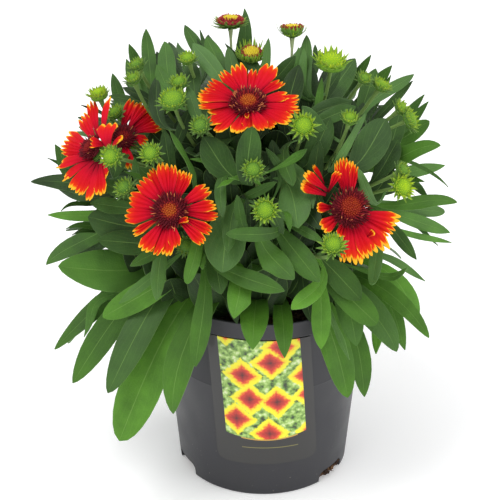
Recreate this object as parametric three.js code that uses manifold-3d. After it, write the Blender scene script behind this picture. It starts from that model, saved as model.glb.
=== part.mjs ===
// A blanket flower in its nursery pot: a black pot with drain slots, potting soil, a label card on the
// front, the woody crown, and the stems, leaves, buds and flower heads that grow from it.
// Millimetres, +Z up. The origin is the middle of the pot's underside and the card faces -Y.
// A bearing is in degrees round the pot's axis: 0 is the front (-Y) and 90 is the right (+X).

import * as THREE from 'three';
import { mergeVertices } from 'three/addons/utils/BufferGeometryUtils.js';
import Module from 'manifold-3d';

const wasm = await Module();
wasm.setup();

// ---------------------------------------------------------------- driving dimensions

const GAP = 0.3; // clearance between pieces that touch

const POT = {
  height: 160,
  rimRadius: 82.5,
  rimDepth: 13.5,
  rimTaper: 0.8,
  underRimRadius: 77.5,
  baseRadius: 64,
  wall: 1.8,
  floor: 2.2,
  segments: 48,
};
const DRAIN_SLOT = { count: 3, firstBearing: -66, width: 28, height: 9, corner: 5, reach: 7 };
const SOIL = { top: 145, flatRadius: 30, domeRise: 2, segments: 32 };
const CROWN = { radius: 24, height: 8, edge: 1, segments: 20 };
const CARD = {
  width: 77.5, bottom: 30, top: 143.5, thickness: 0.6, corner: 8, bearing: -0.1, lean: 6.5,
  columns: 14, rows: 4,
};

const STEM = {
  radius: 1.4, sides: 6, steps: 9, rootSpread: 0.15, upright: 0.42, follow: 0.34,
  collar: 1.8, collarDepth: 1,
};
const CALYX = { radius: 9, depth: 5, rimThickness: 1, sides: 12 };
const RAYS = { thickness: 0.9, hole: 6, seat: 12, samples: 3, notch: 0.2, flute: 1.2 };
const DISC = { radius: 12, edge: 2, shoulder: 8.6, dome: 6, hollow: 0.3, sides: 14 };
const OPENING_HEAD = {
  bracts: 9.5, bractHeight: 2.6, cup: 6, cupHeight: 3.4, dome: 7.5, height: 8, sides: 14, star: 0.25,
};
const BUD = {
  bracts: 9.5, bractHeight: 2, bractRise: 0.8, neck: 5, dome: 5.8, height: 8, points: 8, star: 0.3,
};
const LEAF = { thickness: 1, petiole: 3, tip: 1.6, stations: 8, fold: 0.14, spring: 0.42, run: 0.36 };

// Each head: the bearing, reach and height of the point where its stem ends, how far it tilts from
// straight up, the bearing that it faces, and where its stem leaves the crown when that isn't straight
// below. A flower adds its number of rays, their length, their droop and the sector they have left.
const FLOWERS = {
  flower_top: {
    bearing: -9, reach: 72, height: 326, tilt: 22, facing: -2, rays: 16, length: 35.5, droop: 1,
  },
  flower_left: {
    bearing: -29, reach: 130, height: 267, tilt: 48, facing: -12, rays: 16, length: 31.5, droop: 1,
  },
  flower_right: {
    bearing: 28, reach: 119, height: 264, tilt: 50, facing: 14, rays: 14, length: 34, droop: 5,
    root: [13, -13],
  },
  flower_far_left: {
    bearing: -63, reach: 132, height: 287, tilt: 48, facing: -62, rays: 14, length: 33, droop: 3,
    bare: { from: 290, to: 430 }, root: [-19, -6],
  },
  flower_behind_left: {
    bearing: -69, reach: 106, height: 284, tilt: 30, facing: 10, rays: 14, length: 29, droop: 1,
    bare: { from: 95, to: 280 }, root: [-16, 3],
  },
};
const OPENING_HEADS = {
  opening_head_tall: { bearing: -122, reach: 28, height: 347, tilt: 8, facing: 180 },
  opening_head_right: { bearing: 100, reach: 20, height: 344, tilt: 15, facing: 180 },
  opening_head_front: { bearing: -37, reach: 15, height: 334, tilt: 10, facing: 0 },
};
const BUDS = {
  bud_top_far_left: { bearing: -81, reach: 89, height: 328, tilt: 25, facing: -70 },
  bud_far_left: { bearing: -80, reach: 117, height: 308, tilt: 15, facing: -75 },
  bud_upper_left: { bearing: -47, reach: 79, height: 333, tilt: 20, facing: -30, root: [-9, -7] },
  bud_top_left: { bearing: -59, reach: 61, height: 341, tilt: 20, facing: -40, root: [-8, 0] },
  bud_below_far_left: {
    bearing: -48, reach: 138, height: 298, tilt: 60, facing: -25, root: [-20, -11],
  },
  bud_left: { bearing: -41, reach: 117, height: 298, tilt: 50, facing: -15, root: [-13, -13] },
  bud_below_left: { bearing: -28, reach: 113, height: 234, tilt: 62, facing: -5, root: [-6, -20] },
  bud_upper_right: { bearing: 17, reach: 89, height: 317, tilt: 50, facing: 0, root: [5, -11] },
  bud_right: { bearing: 39, reach: 91, height: 314, tilt: 20, facing: 25 },
  bud_top_right: { bearing: 72, reach: 84, height: 318, tilt: 30, facing: 80 },
  bud_far_right: { bearing: 71, reach: 105, height: 297, tilt: 60, facing: 75, root: [18, -5] },
  bud_middle: { bearing: -4, reach: 111, height: 297, tilt: 50, facing: -5, root: [-2, -16] },
  bud_front: { bearing: 0, reach: 124, height: 274, tilt: 60, facing: 0, root: [3, -19] },
  bud_below_right: { bearing: 18, reach: 146, height: 254, tilt: 34, facing: 5, root: [9, -19] },
  bud_low_right: { bearing: 50, reach: 122, height: 268, tilt: 60, facing: 30, root: [17, -11] },
};

// Each leaf: where it grows (the crown at a bearing, or a stem at a share of its length), the bearing,
// reach and height of its tip, how far the tip points down, and the blade's width. A leaf that shows its
// face sideways also has a lean: the angle through which it is turned about its own length.
const LEAVES = {
  leaf_hanging_left: {
    crown: -40, rise: 62, spring: 0.62, bearing: -47, reach: 143, height: 71, droop: 60, width: 33,
    lean: -18,
  },
  leaf_hanging_front_left: {
    crown: -16, rise: 62, spring: 0.62, bearing: -30, reach: 129, height: 104, droop: 75, width: 25,
  },
  leaf_slanting_left: {
    crown: -62, rise: 64, spring: 0.68, bearing: -49, reach: 148, height: 112, droop: 58, width: 24,
    lean: -25,
  },
  leaf_outer_left: {
    crown: -78, rise: 56, spring: 0.55, bearing: -65, reach: 154, height: 100, droop: 55, width: 21,
    lean: -32,
  },
  leaf_far_left: {
    crown: -94, rise: 42, bearing: -74, reach: 160, height: 116, droop: 45, width: 15, lean: -35,
  },
  leaf_broad_left: {
    stem: 'flower_far_left', at: 0.2, bearing: -66, reach: 160, height: 198, droop: -20, width: 32,
    lean: -52,
  },
  leaf_front_low: { crown: -4, rise: 50, bearing: -4, reach: 116, height: 160, droop: 75, width: 20 },
  leaf_front_right_low: {
    crown: 14, rise: 50, bearing: 7, reach: 116, height: 153, droop: 78, width: 14,
  },
  leaf_right_low: {
    crown: 32, rise: 62, spring: 0.66, bearing: 30, reach: 119, height: 112, droop: 72, width: 23,
    lean: 8,
  },
  leaf_slanting_right: {
    crown: 50, rise: 50, bearing: 46, reach: 131, height: 143, droop: 60, width: 22, lean: 28,
  },
  leaf_outer_right: {
    crown: 68, rise: 46, bearing: 54, reach: 145, height: 151, droop: 50, width: 14, lean: 34,
  },
  leaf_far_right: {
    stem: 'bud_low_right', at: 0.7, bearing: 70, reach: 145, height: 241, droop: 8, width: 10,
    lean: 45,
  },
  leaf_upper_right: {
    stem: 'bud_far_right', at: 0.68, bearing: 67, reach: 133, height: 287, droop: -5, width: 13,
    lean: 55,
  },
  leaf_far_left_upper: {
    stem: 'bud_far_left', at: 0.6, bearing: -88, reach: 169, height: 235, droop: 5, width: 14,
    lean: -30,
  },
  leaf_top_back: {
    stem: 'opening_head_tall', at: 0.6, bearing: -162, reach: 45, height: 350, droop: -60, width: 14,
  },
  leaf_back_left: {
    crown: -130, rise: 46, bearing: -132, reach: 155, height: 110, droop: 55, width: 28,
  },
  leaf_back: { crown: -160, rise: 48, bearing: -165, reach: 150, height: 130, droop: 60, width: 30 },
  leaf_back_right: {
    crown: 145, rise: 48, bearing: 148, reach: 152, height: 115, droop: 55, width: 28,
  },
  leaf_right_back: {
    crown: 122, rise: 52, bearing: 126, reach: 134, height: 124, droop: 50, width: 22,
  },
  leaf_back_upper: {
    crown: 180, rise: 62, bearing: 176, reach: 145, height: 230, droop: 15, width: 26,
  },
};

// ---------------------------------------------------------------- materials

const finish = (color, roughness) => new THREE.MeshStandardMaterial({ color, roughness, metalness: 0 });
const FINISH = {
  pot: finish('#3f3f43', 0.55),
  soil: finish('#3a2a1e', 0.95),
  card: finish('#4a4a45', 0.4),
  crown: finish('#5b5a35', 0.85),
  stem: finish('#7d9a4c', 0.7),
  leaf: finish('#3f6b2d', 0.6),
  rays: finish('#de1f10', 0.6),
  disc: finish('#5e1620', 0.85),
  openingDisc: finish('#b8982e', 0.8),
  bud: finish('#8dbb45', 0.75),
};

// ---------------------------------------------------------------- helpers

const UP = new THREE.Vector3(0, 0, 1);
const radians = THREE.MathUtils.degToRad;
const outward = (bearing) => new THREE.Vector3(
  Math.sin(radians(bearing)),
  -Math.cos(radians(bearing)),
  0,
);

function place({ bearing, reach, height }) {
  return outward(bearing).multiplyScalar(reach).setZ(height);
}

function aim(bearing, elevation) {
  const level = outward(bearing).multiplyScalar(Math.cos(radians(elevation)));
  return level.addScaledVector(UP, Math.sin(radians(elevation)));
}

// A solid turned about +Z from a closed profile of [radius, height] points.
function turned(profile, segments) {
  const points = profile.map(([radius, height]) => new THREE.Vector2(radius, height));
  return new THREE.LatheGeometry(points, segments).rotateX(Math.PI / 2);
}

// Moves each vertex by a function that changes the vector it is given.
function shaped(geometry, change) {
  const positions = geometry.getAttribute('position');
  const vertex = new THREE.Vector3();
  for (let i = 0; i < positions.count; i += 1) {
    vertex.fromBufferAttribute(positions, i);
    change(vertex);
    positions.setXYZ(i, vertex.x, vertex.y, vertex.z);
  }
  return geometry;
}

function welded(geometry) {
  const bare = new THREE.BufferGeometry();
  const source = geometry.index ? geometry.toNonIndexed() : geometry;
  bare.setAttribute('position', source.getAttribute('position'));
  return mergeVertices(bare, 1e-3);
}

function solid(geometry) {
  const closed = welded(geometry);
  return new wasm.Manifold(new wasm.Mesh({
    numProp: 3,
    vertProperties: closed.getAttribute('position').array,
    triVerts: new Uint32Array(closed.index.array),
  }));
}

function geometryOf(body) {
  const { vertProperties, triVerts } = body.getMesh();
  const geometry = new THREE.BufferGeometry();
  geometry.setAttribute('position', new THREE.BufferAttribute(vertProperties, 3));
  geometry.setIndex(new THREE.BufferAttribute(triVerts, 1));
  return geometry.toNonIndexed();
}

function named(name, geometry, material) {
  if (!geometry.getAttribute('normal')) geometry.computeVertexNormals();
  const mesh = new THREE.Mesh(geometry, material);
  mesh.name = name;
  return mesh;
}

// ---------------------------------------------------------------- pot, soil, crown and card

const underRimHeight = POT.height - POT.rimDepth;
const potRadius = (height) => {
  const share = height / underRimHeight;
  return POT.baseRadius + (POT.underRimRadius - POT.baseRadius) * share;
};

// A slot with two round upper corners, through the foot of the wall and the edge of the floor.
function drainSlot(bearing) {
  const { width, height, corner, reach } = DRAIN_SLOT;
  const side = width / 2;
  const outline = new THREE.Shape()
    .moveTo(-side, -height)
    .lineTo(side, -height)
    .lineTo(side, height - corner)
    .absarc(side - corner, height - corner, corner, 0, Math.PI / 2)
    .absarc(corner - side, height - corner, corner, Math.PI / 2, Math.PI);
  const options = { depth: reach * 2, bevelEnabled: false, curveSegments: 4 };
  const slot = new THREE.ExtrudeGeometry(outline, options);
  slot.translate(0, 0, -reach).rotateX(Math.PI / 2).rotateZ(radians(bearing));
  return solid(slot.translate(...outward(bearing).multiplyScalar(POT.baseRadius)));
}

function pot() {
  const { height, rimRadius, rimTaper, baseRadius, underRimRadius, wall, floor, segments } = POT;
  const rimFoot = rimRadius - rimTaper;
  const body = solid(turned([
    [0, 0],
    [baseRadius, 0],
    [underRimRadius, underRimHeight],
    [rimFoot, underRimHeight],
    [rimRadius, height],
    [rimRadius - wall, height],
    [underRimRadius - wall, underRimHeight + wall],
    [potRadius(floor) - wall, floor],
    [0, floor],
  ], segments));
  let cut = body;
  for (let i = 0; i < DRAIN_SLOT.count; i += 1) {
    cut = cut.subtract(drainSlot(DRAIN_SLOT.firstBearing + (i * 360) / DRAIN_SLOT.count));
  }
  return named('pot', geometryOf(cut), FINISH.pot);
}

function pottingSoil() {
  const bottom = POT.floor + GAP;
  const inner = (height) => (potRadius(height) - POT.wall) * Math.cos(Math.PI / POT.segments) - GAP;
  return named('potting_soil', turned([
    [0, bottom],
    [inner(bottom), bottom],
    [inner(SOIL.top - SOIL.domeRise), SOIL.top - SOIL.domeRise],
    [SOIL.flatRadius, SOIL.top],
    [0, SOIL.top],
  ], SOIL.segments), FINISH.soil);
}

const crownTop = SOIL.top + GAP + CROWN.height;

function crown() {
  const { radius, height, edge, segments } = CROWN;
  const bottom = SOIL.top + GAP;
  return named('crown', turned([
    [0, bottom],
    [radius - edge, bottom],
    [radius, bottom + edge],
    [radius, bottom + height - edge],
    [radius - edge, bottom + height],
    [0, bottom + height],
  ], segments), FINISH.crown);
}

// A thin card wrapped round the pot's front under the rim, with two rounded bottom corners.
function labelCard() {
  const { width, bottom, top, thickness, corner, bearing, lean, columns, rows } = CARD;
  const height = top - bottom;
  const rowHeights = [0, 40, 65, 90].map((turn) => corner * (1 - Math.cos(radians(turn))));
  for (let i = 1; i <= rows; i += 1) rowHeights.push(corner + ((height - corner) * i) / rows);
  const last = rowHeights.length - 1;
  const card = new THREE.BoxGeometry(1, last, 1, columns, last, 1);
  return named('label_card', shaped(card, (vertex) => {
    const up = rowHeights[Math.round(vertex.y + last / 2)];
    const cornerDrop = Math.max(0, corner - up);
    const inset = corner - Math.sqrt(corner ** 2 - cornerDrop ** 2);
    const across = vertex.x * (width - 2 * inset);
    const z = bottom + up;
    const radius = potRadius(z) + GAP + (vertex.z + 0.5) * thickness;
    const slant = lean * (0.5 - up / height);
    const turn = bearing + slant + THREE.MathUtils.radToDeg(across / potRadius(z));
    vertex.copy(outward(turn).multiplyScalar(radius).setZ(z));
  }), FINISH.card);
}

// ---------------------------------------------------------------- stems and heads

const headAxis = ({ facing, tilt }) => aim(facing, 90 - tilt);

function headMatrix(head) {
  const turn = new THREE.Quaternion().setFromUnitVectors(UP, headAxis(head));
  return new THREE.Matrix4().compose(place(head), turn, new THREE.Vector3(1, 1, 1));
}

// A stem leaves the crown upright and arrives along its head's own axis.
function stemCurve(head) {
  const end = place(head);
  const root = new THREE.Vector3(end.x * STEM.rootSpread, end.y * STEM.rootSpread, 0);
  if (head.root) root.set(...head.root, 0);
  root.z = crownTop + GAP;
  const length = end.distanceTo(root);
  return new THREE.CubicBezierCurve3(
    root,
    root.clone().addScaledVector(UP, length * STEM.upright),
    end.clone().addScaledVector(headAxis(head), -length * STEM.follow),
    end,
  );
}

function stemSolid(head) {
  const section = new THREE.Shape(
    Array.from({ length: STEM.sides }, (_, i) => {
      const angle = (i * 2 * Math.PI) / STEM.sides;
      return new THREE.Vector2(Math.cos(angle), Math.sin(angle)).multiplyScalar(STEM.radius);
    }),
  );
  const options = { steps: STEM.steps, extrudePath: stemCurve(head), bevelEnabled: false };
  return solid(new THREE.ExtrudeGeometry(section, options));
}

// Gives a turned head its pointed bracts: beyond the given radius, every other vertex is drawn in.
function starred(geometry, beyond, points, depth) {
  return shaped(geometry, (vertex) => {
    const radius = Math.hypot(vertex.x, vertex.y);
    if (radius <= beyond) return;
    const angle = Math.atan2(vertex.y, vertex.x);
    const share = 1 - depth * (0.5 - 0.5 * Math.cos(points * angle));
    vertex.x *= share;
    vertex.y *= share;
  });
}

function calyx() {
  const { radius, depth, rimThickness, sides } = CALYX;
  return turned([
    [0, -depth],
    [STEM.collar, -depth],
    [radius, -rimThickness - GAP],
    [radius, -GAP],
    [0, -GAP],
  ], sides);
}

// A ring of rays from one closed profile: fluted, notched between the rays and drooping outwards.
function rayRing({ rays, length, droop, bare }) {
  const { thickness, hole, seat, samples, notch, flute } = RAYS;
  const middle = (seat + length) / 2;
  const ring = turned([
    [hole, 0],
    [seat, 0],
    [middle, 0],
    [length, 0],
    [length, thickness],
    [middle, thickness],
    [seat, thickness],
    [hole, thickness],
    [hole, 0],
  ], rays * samples);
  return shaped(ring, (vertex) => {
    const radius = Math.hypot(vertex.x, vertex.y);
    const share = Math.max(0, (radius - seat) / (length - seat));
    const angle = Math.atan2(vertex.y, vertex.x);
    const ridge = Math.abs(Math.sin((angle * rays) / 2));
    const degrees = (THREE.MathUtils.radToDeg(angle) + 360) % 360;
    const shed = bare && (degrees - bare.from + 360) % 360 < bare.to - bare.from ? 0.8 : 0;
    const reach = radius - (length - seat) * share * (shed + (1 - shed) * notch * (1 - ridge));
    vertex.x *= reach / radius;
    vertex.y *= reach / radius;
    vertex.z += share * flute * ridge - droop * share ** 2;
  });
}

function disc() {
  const { radius, edge, shoulder, dome, hollow, sides } = DISC;
  const bottom = RAYS.thickness + GAP;
  return turned([
    [0, bottom],
    [radius - edge, bottom],
    [radius, bottom + edge],
    [shoulder, bottom + dome - edge / 2],
    [shoulder / 2, bottom + dome],
    [0, bottom + dome - hollow],
  ], sides);
}

function budHead() {
  const { bracts, bractHeight, bractRise, neck, dome, height, points, star } = BUD;
  return starred(turned([
    [0, -STEM.collarDepth],
    [STEM.collar, -STEM.collarDepth],
    [neck, bractHeight - bractRise],
    [bracts, bractHeight],
    [(neck + dome) / 2, bractHeight + bractRise],
    [dome, (bractHeight + height) / 2],
    [dome / 2, height],
    [0, height],
  ], points * 2), dome, points, star);
}

function openingCup() {
  const { bracts, bractHeight, cup, cupHeight, sides, star } = OPENING_HEAD;
  return starred(turned([
    [0, -STEM.collarDepth],
    [STEM.collar, -STEM.collarDepth],
    [cup, bractHeight - STEM.collarDepth],
    [bracts, bractHeight],
    [cup, cupHeight],
    [0, cupHeight],
  ], sides), cup, sides / 2, star);
}

function openingDisc() {
  const { cup, cupHeight, dome, height, sides } = OPENING_HEAD;
  const bottom = cupHeight + GAP;
  return turned([
    [0, bottom],
    [cup, bottom],
    [dome, (bottom + height) / 2],
    [dome, height],
    [dome / 2, height + 1],
    [0, height + 1],
  ], sides);
}

function stemWithHead(name, head, headGeometry, material) {
  const body = stemSolid(head).add(solid(headGeometry.applyMatrix4(headMatrix(head))));
  return named(name, geometryOf(body), material);
}

// The pieces that sit on a head, in a group on the head's own axis.
function onHead(head, ...pieces) {
  const group = new THREE.Group();
  group.applyMatrix4(headMatrix(head));
  group.add(...pieces);
  return group;
}

// ---------------------------------------------------------------- leaves

const heads = { ...FLOWERS, ...OPENING_HEADS, ...BUDS };

// Where a leaf starts and the way it sets off, clear of the surface that it grows from.
function leafSeat({ crown: bearing, rise, stem, at, bearing: tipBearing }) {
  const half = LEAF.thickness / 2;
  if (stem === undefined) {
    const direction = aim(bearing, rise);
    const clear = CROWN.radius + GAP + half * Math.sin(radians(rise));
    const start = outward(bearing).multiplyScalar(clear).setZ(SOIL.top + GAP + CROWN.height / 2);
    return { start, direction };
  }
  const curve = stemCurve(heads[stem]);
  const along = curve.getTangent(at);
  const direction = outward(tipBearing);
  direction.addScaledVector(along, -direction.dot(along)).normalize();
  const start = curve.getPoint(at).addScaledVector(direction, STEM.radius + GAP);
  return { start, direction };
}

function leafCurve(leaf) {
  const { start, direction } = leafSeat(leaf);
  const tip = place(leaf);
  const length = tip.distanceTo(start);
  return new THREE.CubicBezierCurve3(
    start,
    start.clone().addScaledVector(direction, length * (leaf.spring ?? LEAF.spring)),
    tip.clone().addScaledVector(aim(leaf.bearing, -leaf.droop), -length * LEAF.run),
    tip,
  );
}

// A blade that widens past its petiole, folded a little along the midrib and swept along its curve. Its
// lean comes in past the petiole.
function leafBlade(leaf) {
  const { thickness, petiole, tip, stations, fold } = LEAF;
  const curve = leafCurve(leaf);
  const heading = curve.getPoint(1).sub(curve.getPoint(0)).setZ(0).normalize();
  const level = heading.clone().cross(UP);
  const blade = new THREE.BoxGeometry(1, 1, thickness, 2, stations, 1);
  return shaped(blade, (vertex) => {
    const share = vertex.y + 0.5;
    const along = curve.getTangent(share);
    const side = level.clone().addScaledVector(along, -level.dot(along)).normalize();
    side.applyAxisAngle(along, radians(leaf.lean ?? 0) * THREE.MathUtils.smoothstep(share, 0.1, 0.5));
    const face = side.clone().cross(along);
    const least = share > 0.9 ? tip : petiole;
    const width = Math.max(least, leaf.width * Math.sin(Math.PI * share ** 2));
    const across = vertex.x * width;
    const lift = vertex.z + Math.abs(across) * fold;
    vertex.copy(curve.getPoint(share)).addScaledVector(side, across).addScaledVector(face, lift);
  });
}

// ---------------------------------------------------------------- the plant

const plant = new THREE.Group();
plant.add(pot(), pottingSoil(), crown(), labelCard());

for (const [name, flower] of Object.entries(FLOWERS)) {
  plant.add(stemWithHead(`${name}_stem`, flower, calyx(), FINISH.stem));
  plant.add(onHead(
    flower,
    named(`${name}_rays`, rayRing(flower), FINISH.rays),
    named(`${name}_disc`, disc(), FINISH.disc),
  ));
}
for (const [name, head] of Object.entries(OPENING_HEADS)) {
  plant.add(stemWithHead(`${name}_stem`, head, openingCup(), FINISH.stem));
  plant.add(onHead(head, named(`${name}_disc`, openingDisc(), FINISH.openingDisc)));
}
for (const [name, bud] of Object.entries(BUDS)) {
  plant.add(stemWithHead(name, bud, budHead(), FINISH.bud));
}
for (const [name, leaf] of Object.entries(LEAVES)) {
  plant.add(named(name, leafBlade(leaf), FINISH.leaf));
}

export default plant;
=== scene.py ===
"""Looks of a potted blanket flower: pot, label, soil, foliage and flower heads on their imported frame.

Shapes are worked out in millimetres, +Z up, from the middle of the pot's underside. A bearing is in
degrees round the pot's axis: 0 is the front (-Y) and 90 the right (+X). Pixels are places in the
camera's square frame, 500 wide, counted from its upper left corner.
"""

import logging
import math
from collections.abc import Callable, Iterator, Sequence
from contextlib import contextmanager
from dataclasses import dataclass, field, replace
from enum import Enum
from typing import ClassVar

import bmesh
import bpy
import numpy as np
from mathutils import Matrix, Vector


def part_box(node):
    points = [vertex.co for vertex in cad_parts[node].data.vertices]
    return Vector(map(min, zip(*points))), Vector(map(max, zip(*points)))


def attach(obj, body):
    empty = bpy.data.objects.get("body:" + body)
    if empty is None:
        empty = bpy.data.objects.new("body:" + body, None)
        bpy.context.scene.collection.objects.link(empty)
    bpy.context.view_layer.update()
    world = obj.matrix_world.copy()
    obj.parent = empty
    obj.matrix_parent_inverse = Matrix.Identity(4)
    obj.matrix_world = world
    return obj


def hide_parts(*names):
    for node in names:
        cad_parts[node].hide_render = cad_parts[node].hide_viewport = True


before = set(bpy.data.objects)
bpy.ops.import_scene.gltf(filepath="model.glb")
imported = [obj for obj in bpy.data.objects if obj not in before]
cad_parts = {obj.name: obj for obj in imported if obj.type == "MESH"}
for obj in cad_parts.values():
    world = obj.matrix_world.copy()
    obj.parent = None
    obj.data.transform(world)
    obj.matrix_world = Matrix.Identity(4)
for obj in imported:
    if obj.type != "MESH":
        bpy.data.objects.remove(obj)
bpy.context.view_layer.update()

LOG = logging.getLogger("blanket_flower")
MM = 0.001
UP = np.array((0.0, 0.0, 1.0))
PATTERN = "pattern"
BODY = "root"
GAP = 0.3

Vec = np.ndarray
Pixel = tuple[float, float]


# ---------------------------------------------------------------- directions, courses and the camera


def unit(vector: Vec) -> Vec:
    """Scales a vector, or each row of many, to length one."""
    return vector / np.linalg.norm(vector, axis=-1, keepdims=True)


def outward(bearing: float) -> Vec:
    """Gives the level direction away from the pot's axis at a bearing."""
    turn = math.radians(bearing)
    return np.array((math.sin(turn), -math.cos(turn), 0.0))


def aim(bearing: float, rise: float) -> Vec:
    """Gives the direction at a bearing that rises by an angle in degrees."""
    return outward(bearing) * math.cos(math.radians(rise)) + UP * math.sin(math.radians(rise))


def place(bearing: float, reach: float, height: float) -> Vec:
    """Gives the point at a bearing, a distance from the axis and a height."""
    return outward(bearing) * reach + UP * height


def bearing_of(point: Vec) -> float:
    """Gives the bearing of a point, in degrees."""
    return math.degrees(math.atan2(point[0], -point[1]))


def smooth_step(value: Vec | float, low: float, high: float) -> Vec:
    """Eases from 0 at low to 1 at high."""
    share = np.clip((np.asarray(value, float) - low) / (high - low), 0, 1)
    return share * share * (3 - 2 * share)


@dataclass(frozen=True)
class Course:
    """A smooth way through space, given by its two ends and the two points that it bends towards."""

    start: Vec
    leave: Vec
    arrive: Vec
    end: Vec

    def at(self, share: Vec | float) -> Vec:
        """Gives the points at shares of the way, one row each.

        Args:
            share: one share or many, from 0 at the start to 1 at the end.

        Returns:
            One point for each share.
        """
        t = np.asarray(share, float)[..., None]
        s = 1 - t
        return s**3 * self.start + 3 * s * s * t * self.leave + 3 * s * t * t * self.arrive + t**3 * self.end

    def heading(self, share: Vec | float) -> Vec:
        """Gives the unit directions at shares of the way, one row each.

        Args:
            share: one share or many, from 0 at the start to 1 at the end.

        Returns:
            One direction for each share.
        """
        t = np.clip(np.asarray(share, float), 0.001, 0.999)[..., None]
        s = 1 - t
        first = self.leave - self.start
        middle = self.arrive - self.leave
        last = self.end - self.arrive
        return unit(s * s * first + 2 * s * t * middle + t * t * last)


@dataclass(frozen=True)
class Viewpoint:
    """The camera: a long lens that looks slightly down on the plant from the front."""

    target: tuple[float, float, float] = (-10.0, 0.0, 175.3)
    elevation: float = 28.9
    distance: float = 1578.0
    focal_pixels: float = 2128.0
    frame_pixels: float = 500.0
    sensor: float = 36.0

    @property
    def back(self) -> Vec:
        """The direction from the target to the camera."""
        return aim(0, self.elevation)

    @property
    def eye(self) -> Vec:
        """Where the camera stands."""
        return np.array(self.target) + self.back * self.distance

    @property
    def rise(self) -> Vec:
        """The direction in space that is up in the frame."""
        return aim(180, 90 - self.elevation)

    def sight(self, pixel: Pixel) -> Vec:
        """Gives the direction in which the camera sees a pixel.

        Args:
            pixel: a place in the frame.

        Returns:
            The unit direction, away from the camera.
        """
        half = self.frame_pixels / 2
        right, up = (pixel[0] - half) / self.focal_pixels, (half - pixel[1]) / self.focal_pixels
        return unit(np.array((1.0, 0.0, 0.0)) * right + self.rise * up - self.back)

    def on_dome(self, pixel: Pixel, middle: Vec, half_sizes: Vec) -> Vec:
        """Gives the near point of a rounded mound that a pixel shows.

        Args:
            pixel: the place in the frame.
            middle: the mound's middle.
            half_sizes: half of its width, depth and height.

        Returns:
            The point, or where the sight line passes nearest to the mound's middle.
        """
        way = self.sight(pixel) / half_sizes
        offset = (self.eye - middle) / half_sizes
        square, product = float(way @ way), float(way @ offset)
        inside = product**2 - square * (float(offset @ offset) - 1)
        return self.eye + self.sight(pixel) * ((-product - math.sqrt(max(inside, 0))) / square)

    def on_plane(self, pixel: Pixel, point: Vec, normal: Vec) -> Vec:
        """Gives the point of a plane that a pixel shows."""
        way = self.sight(pixel)
        return self.eye + way * (np.dot(point - self.eye, normal) / np.dot(way, normal))

    def pixel(self, points: Vec) -> Vec:
        """Gives where points show in the frame, and how far each is, one row each.

        Args:
            points: one point or many, in mm.

        Returns:
            The pixels across and down and the distance in mm, for each point.
        """
        offset = np.atleast_2d(points) - self.eye
        depth = -offset @ self.back
        across = offset[:, 0] * self.focal_pixels / depth
        up = offset @ self.rise * self.focal_pixels / depth
        half = self.frame_pixels / 2
        return np.column_stack((half + across, half - up, depth))


VIEW = Viewpoint()


# ---------------------------------------------------------------- modelling helpers


def fresh(add: Callable[..., set[str]], **settings: object) -> bpy.types.Object:
    """Adds a primitive with nothing else selected.

    Args:
        add: the operator that adds it.
        **settings: the operator's own settings.

    Returns:
        The new piece.
    """
    bpy.ops.object.select_all(action="DESELECT")
    add(**settings)
    return bpy.context.object


def pick(*pieces: bpy.types.Object) -> None:
    """Selects only the given pieces and makes the first one active.

    Args:
        *pieces: the pieces.
    """
    bpy.ops.object.select_all(action="DESELECT")
    for piece in pieces:
        piece.select_set(True)
    bpy.context.view_layer.objects.active = pieces[0]


@contextmanager
def editing(piece: bpy.types.Object) -> Iterator[bmesh.types.BMesh]:
    """Opens a piece in edit mode with nothing selected, and leaves edit mode at the end.

    Args:
        piece: the mesh object to shape.

    Returns:
        The piece's edit mesh, for selecting faces and edges by their place.
    """
    pick(piece)
    bpy.ops.object.mode_set(mode="EDIT")
    bpy.context.tool_settings.mesh_select_mode = (False, False, True)
    bpy.ops.mesh.select_all(action="DESELECT")
    try:
        yield bmesh.from_edit_mesh(piece.data)
    finally:
        bpy.ops.object.mode_set(mode="OBJECT")


def apply_modifier(piece: bpy.types.Object, kind: str, **settings: object) -> None:
    """Adds a modifier with its settings and applies it.

    Args:
        piece: the piece that it changes.
        kind: the modifier's type name.
        **settings: its settings.
    """
    modifier = piece.modifiers.new(kind.title(), kind)
    for name, value in settings.items():
        setattr(modifier, name, value)
    pick(piece)
    bpy.ops.object.modifier_apply(modifier=modifier.name)


def settle(piece: bpy.types.Object, name: str, smooth_angle: float = 50) -> bpy.types.Object:
    """Puts a piece's place in its mesh, names it and smooths all but its sharp edges.

    Args:
        piece: the mesh object.
        name: its name, given to the mesh too.
        smooth_angle: the angle in degrees above which an edge stays sharp.

    Returns:
        The piece.
    """
    pick(piece)
    bpy.ops.object.transform_apply(location=True, rotation=True, scale=True)
    bpy.ops.object.shade_smooth_by_angle(angle=math.radians(smooth_angle))
    piece.name = name
    piece.data.name = name
    return piece


def turned(name: str, outline: Sequence[tuple[float, float]], segments: int) -> bpy.types.Object:
    """Models a round solid from a disc that is extruded and scaled from station to station.

    Args:
        name: the new piece's name.
        outline: radius and height of each station in mm, from the first disc to the last.
        segments: how many sides the round has.

    Returns:
        The piece, with its first and last discs closed.
    """
    radius, height = outline[0]
    add = bpy.ops.mesh.primitive_circle_add
    piece = fresh(add, vertices=segments, radius=radius * MM, fill_type="NGON", location=(0, 0, height * MM))
    with editing(piece):
        bpy.ops.mesh.select_all(action="SELECT")
        for next_radius, next_height in outline[1:]:
            rise = (0, 0, (next_height - height) * MM)
            bpy.ops.mesh.extrude_region_move(TRANSFORM_OT_translate={"value": rise})
            scale = next_radius / radius
            bpy.ops.transform.resize(value=(scale, scale, 1), center_override=(0, 0, next_height * MM))
            radius, height = next_radius, next_height
        bpy.ops.mesh.select_all(action="SELECT")
        bpy.ops.mesh.normals_make_consistent(inside=False)
    return settle(piece, name)


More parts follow.
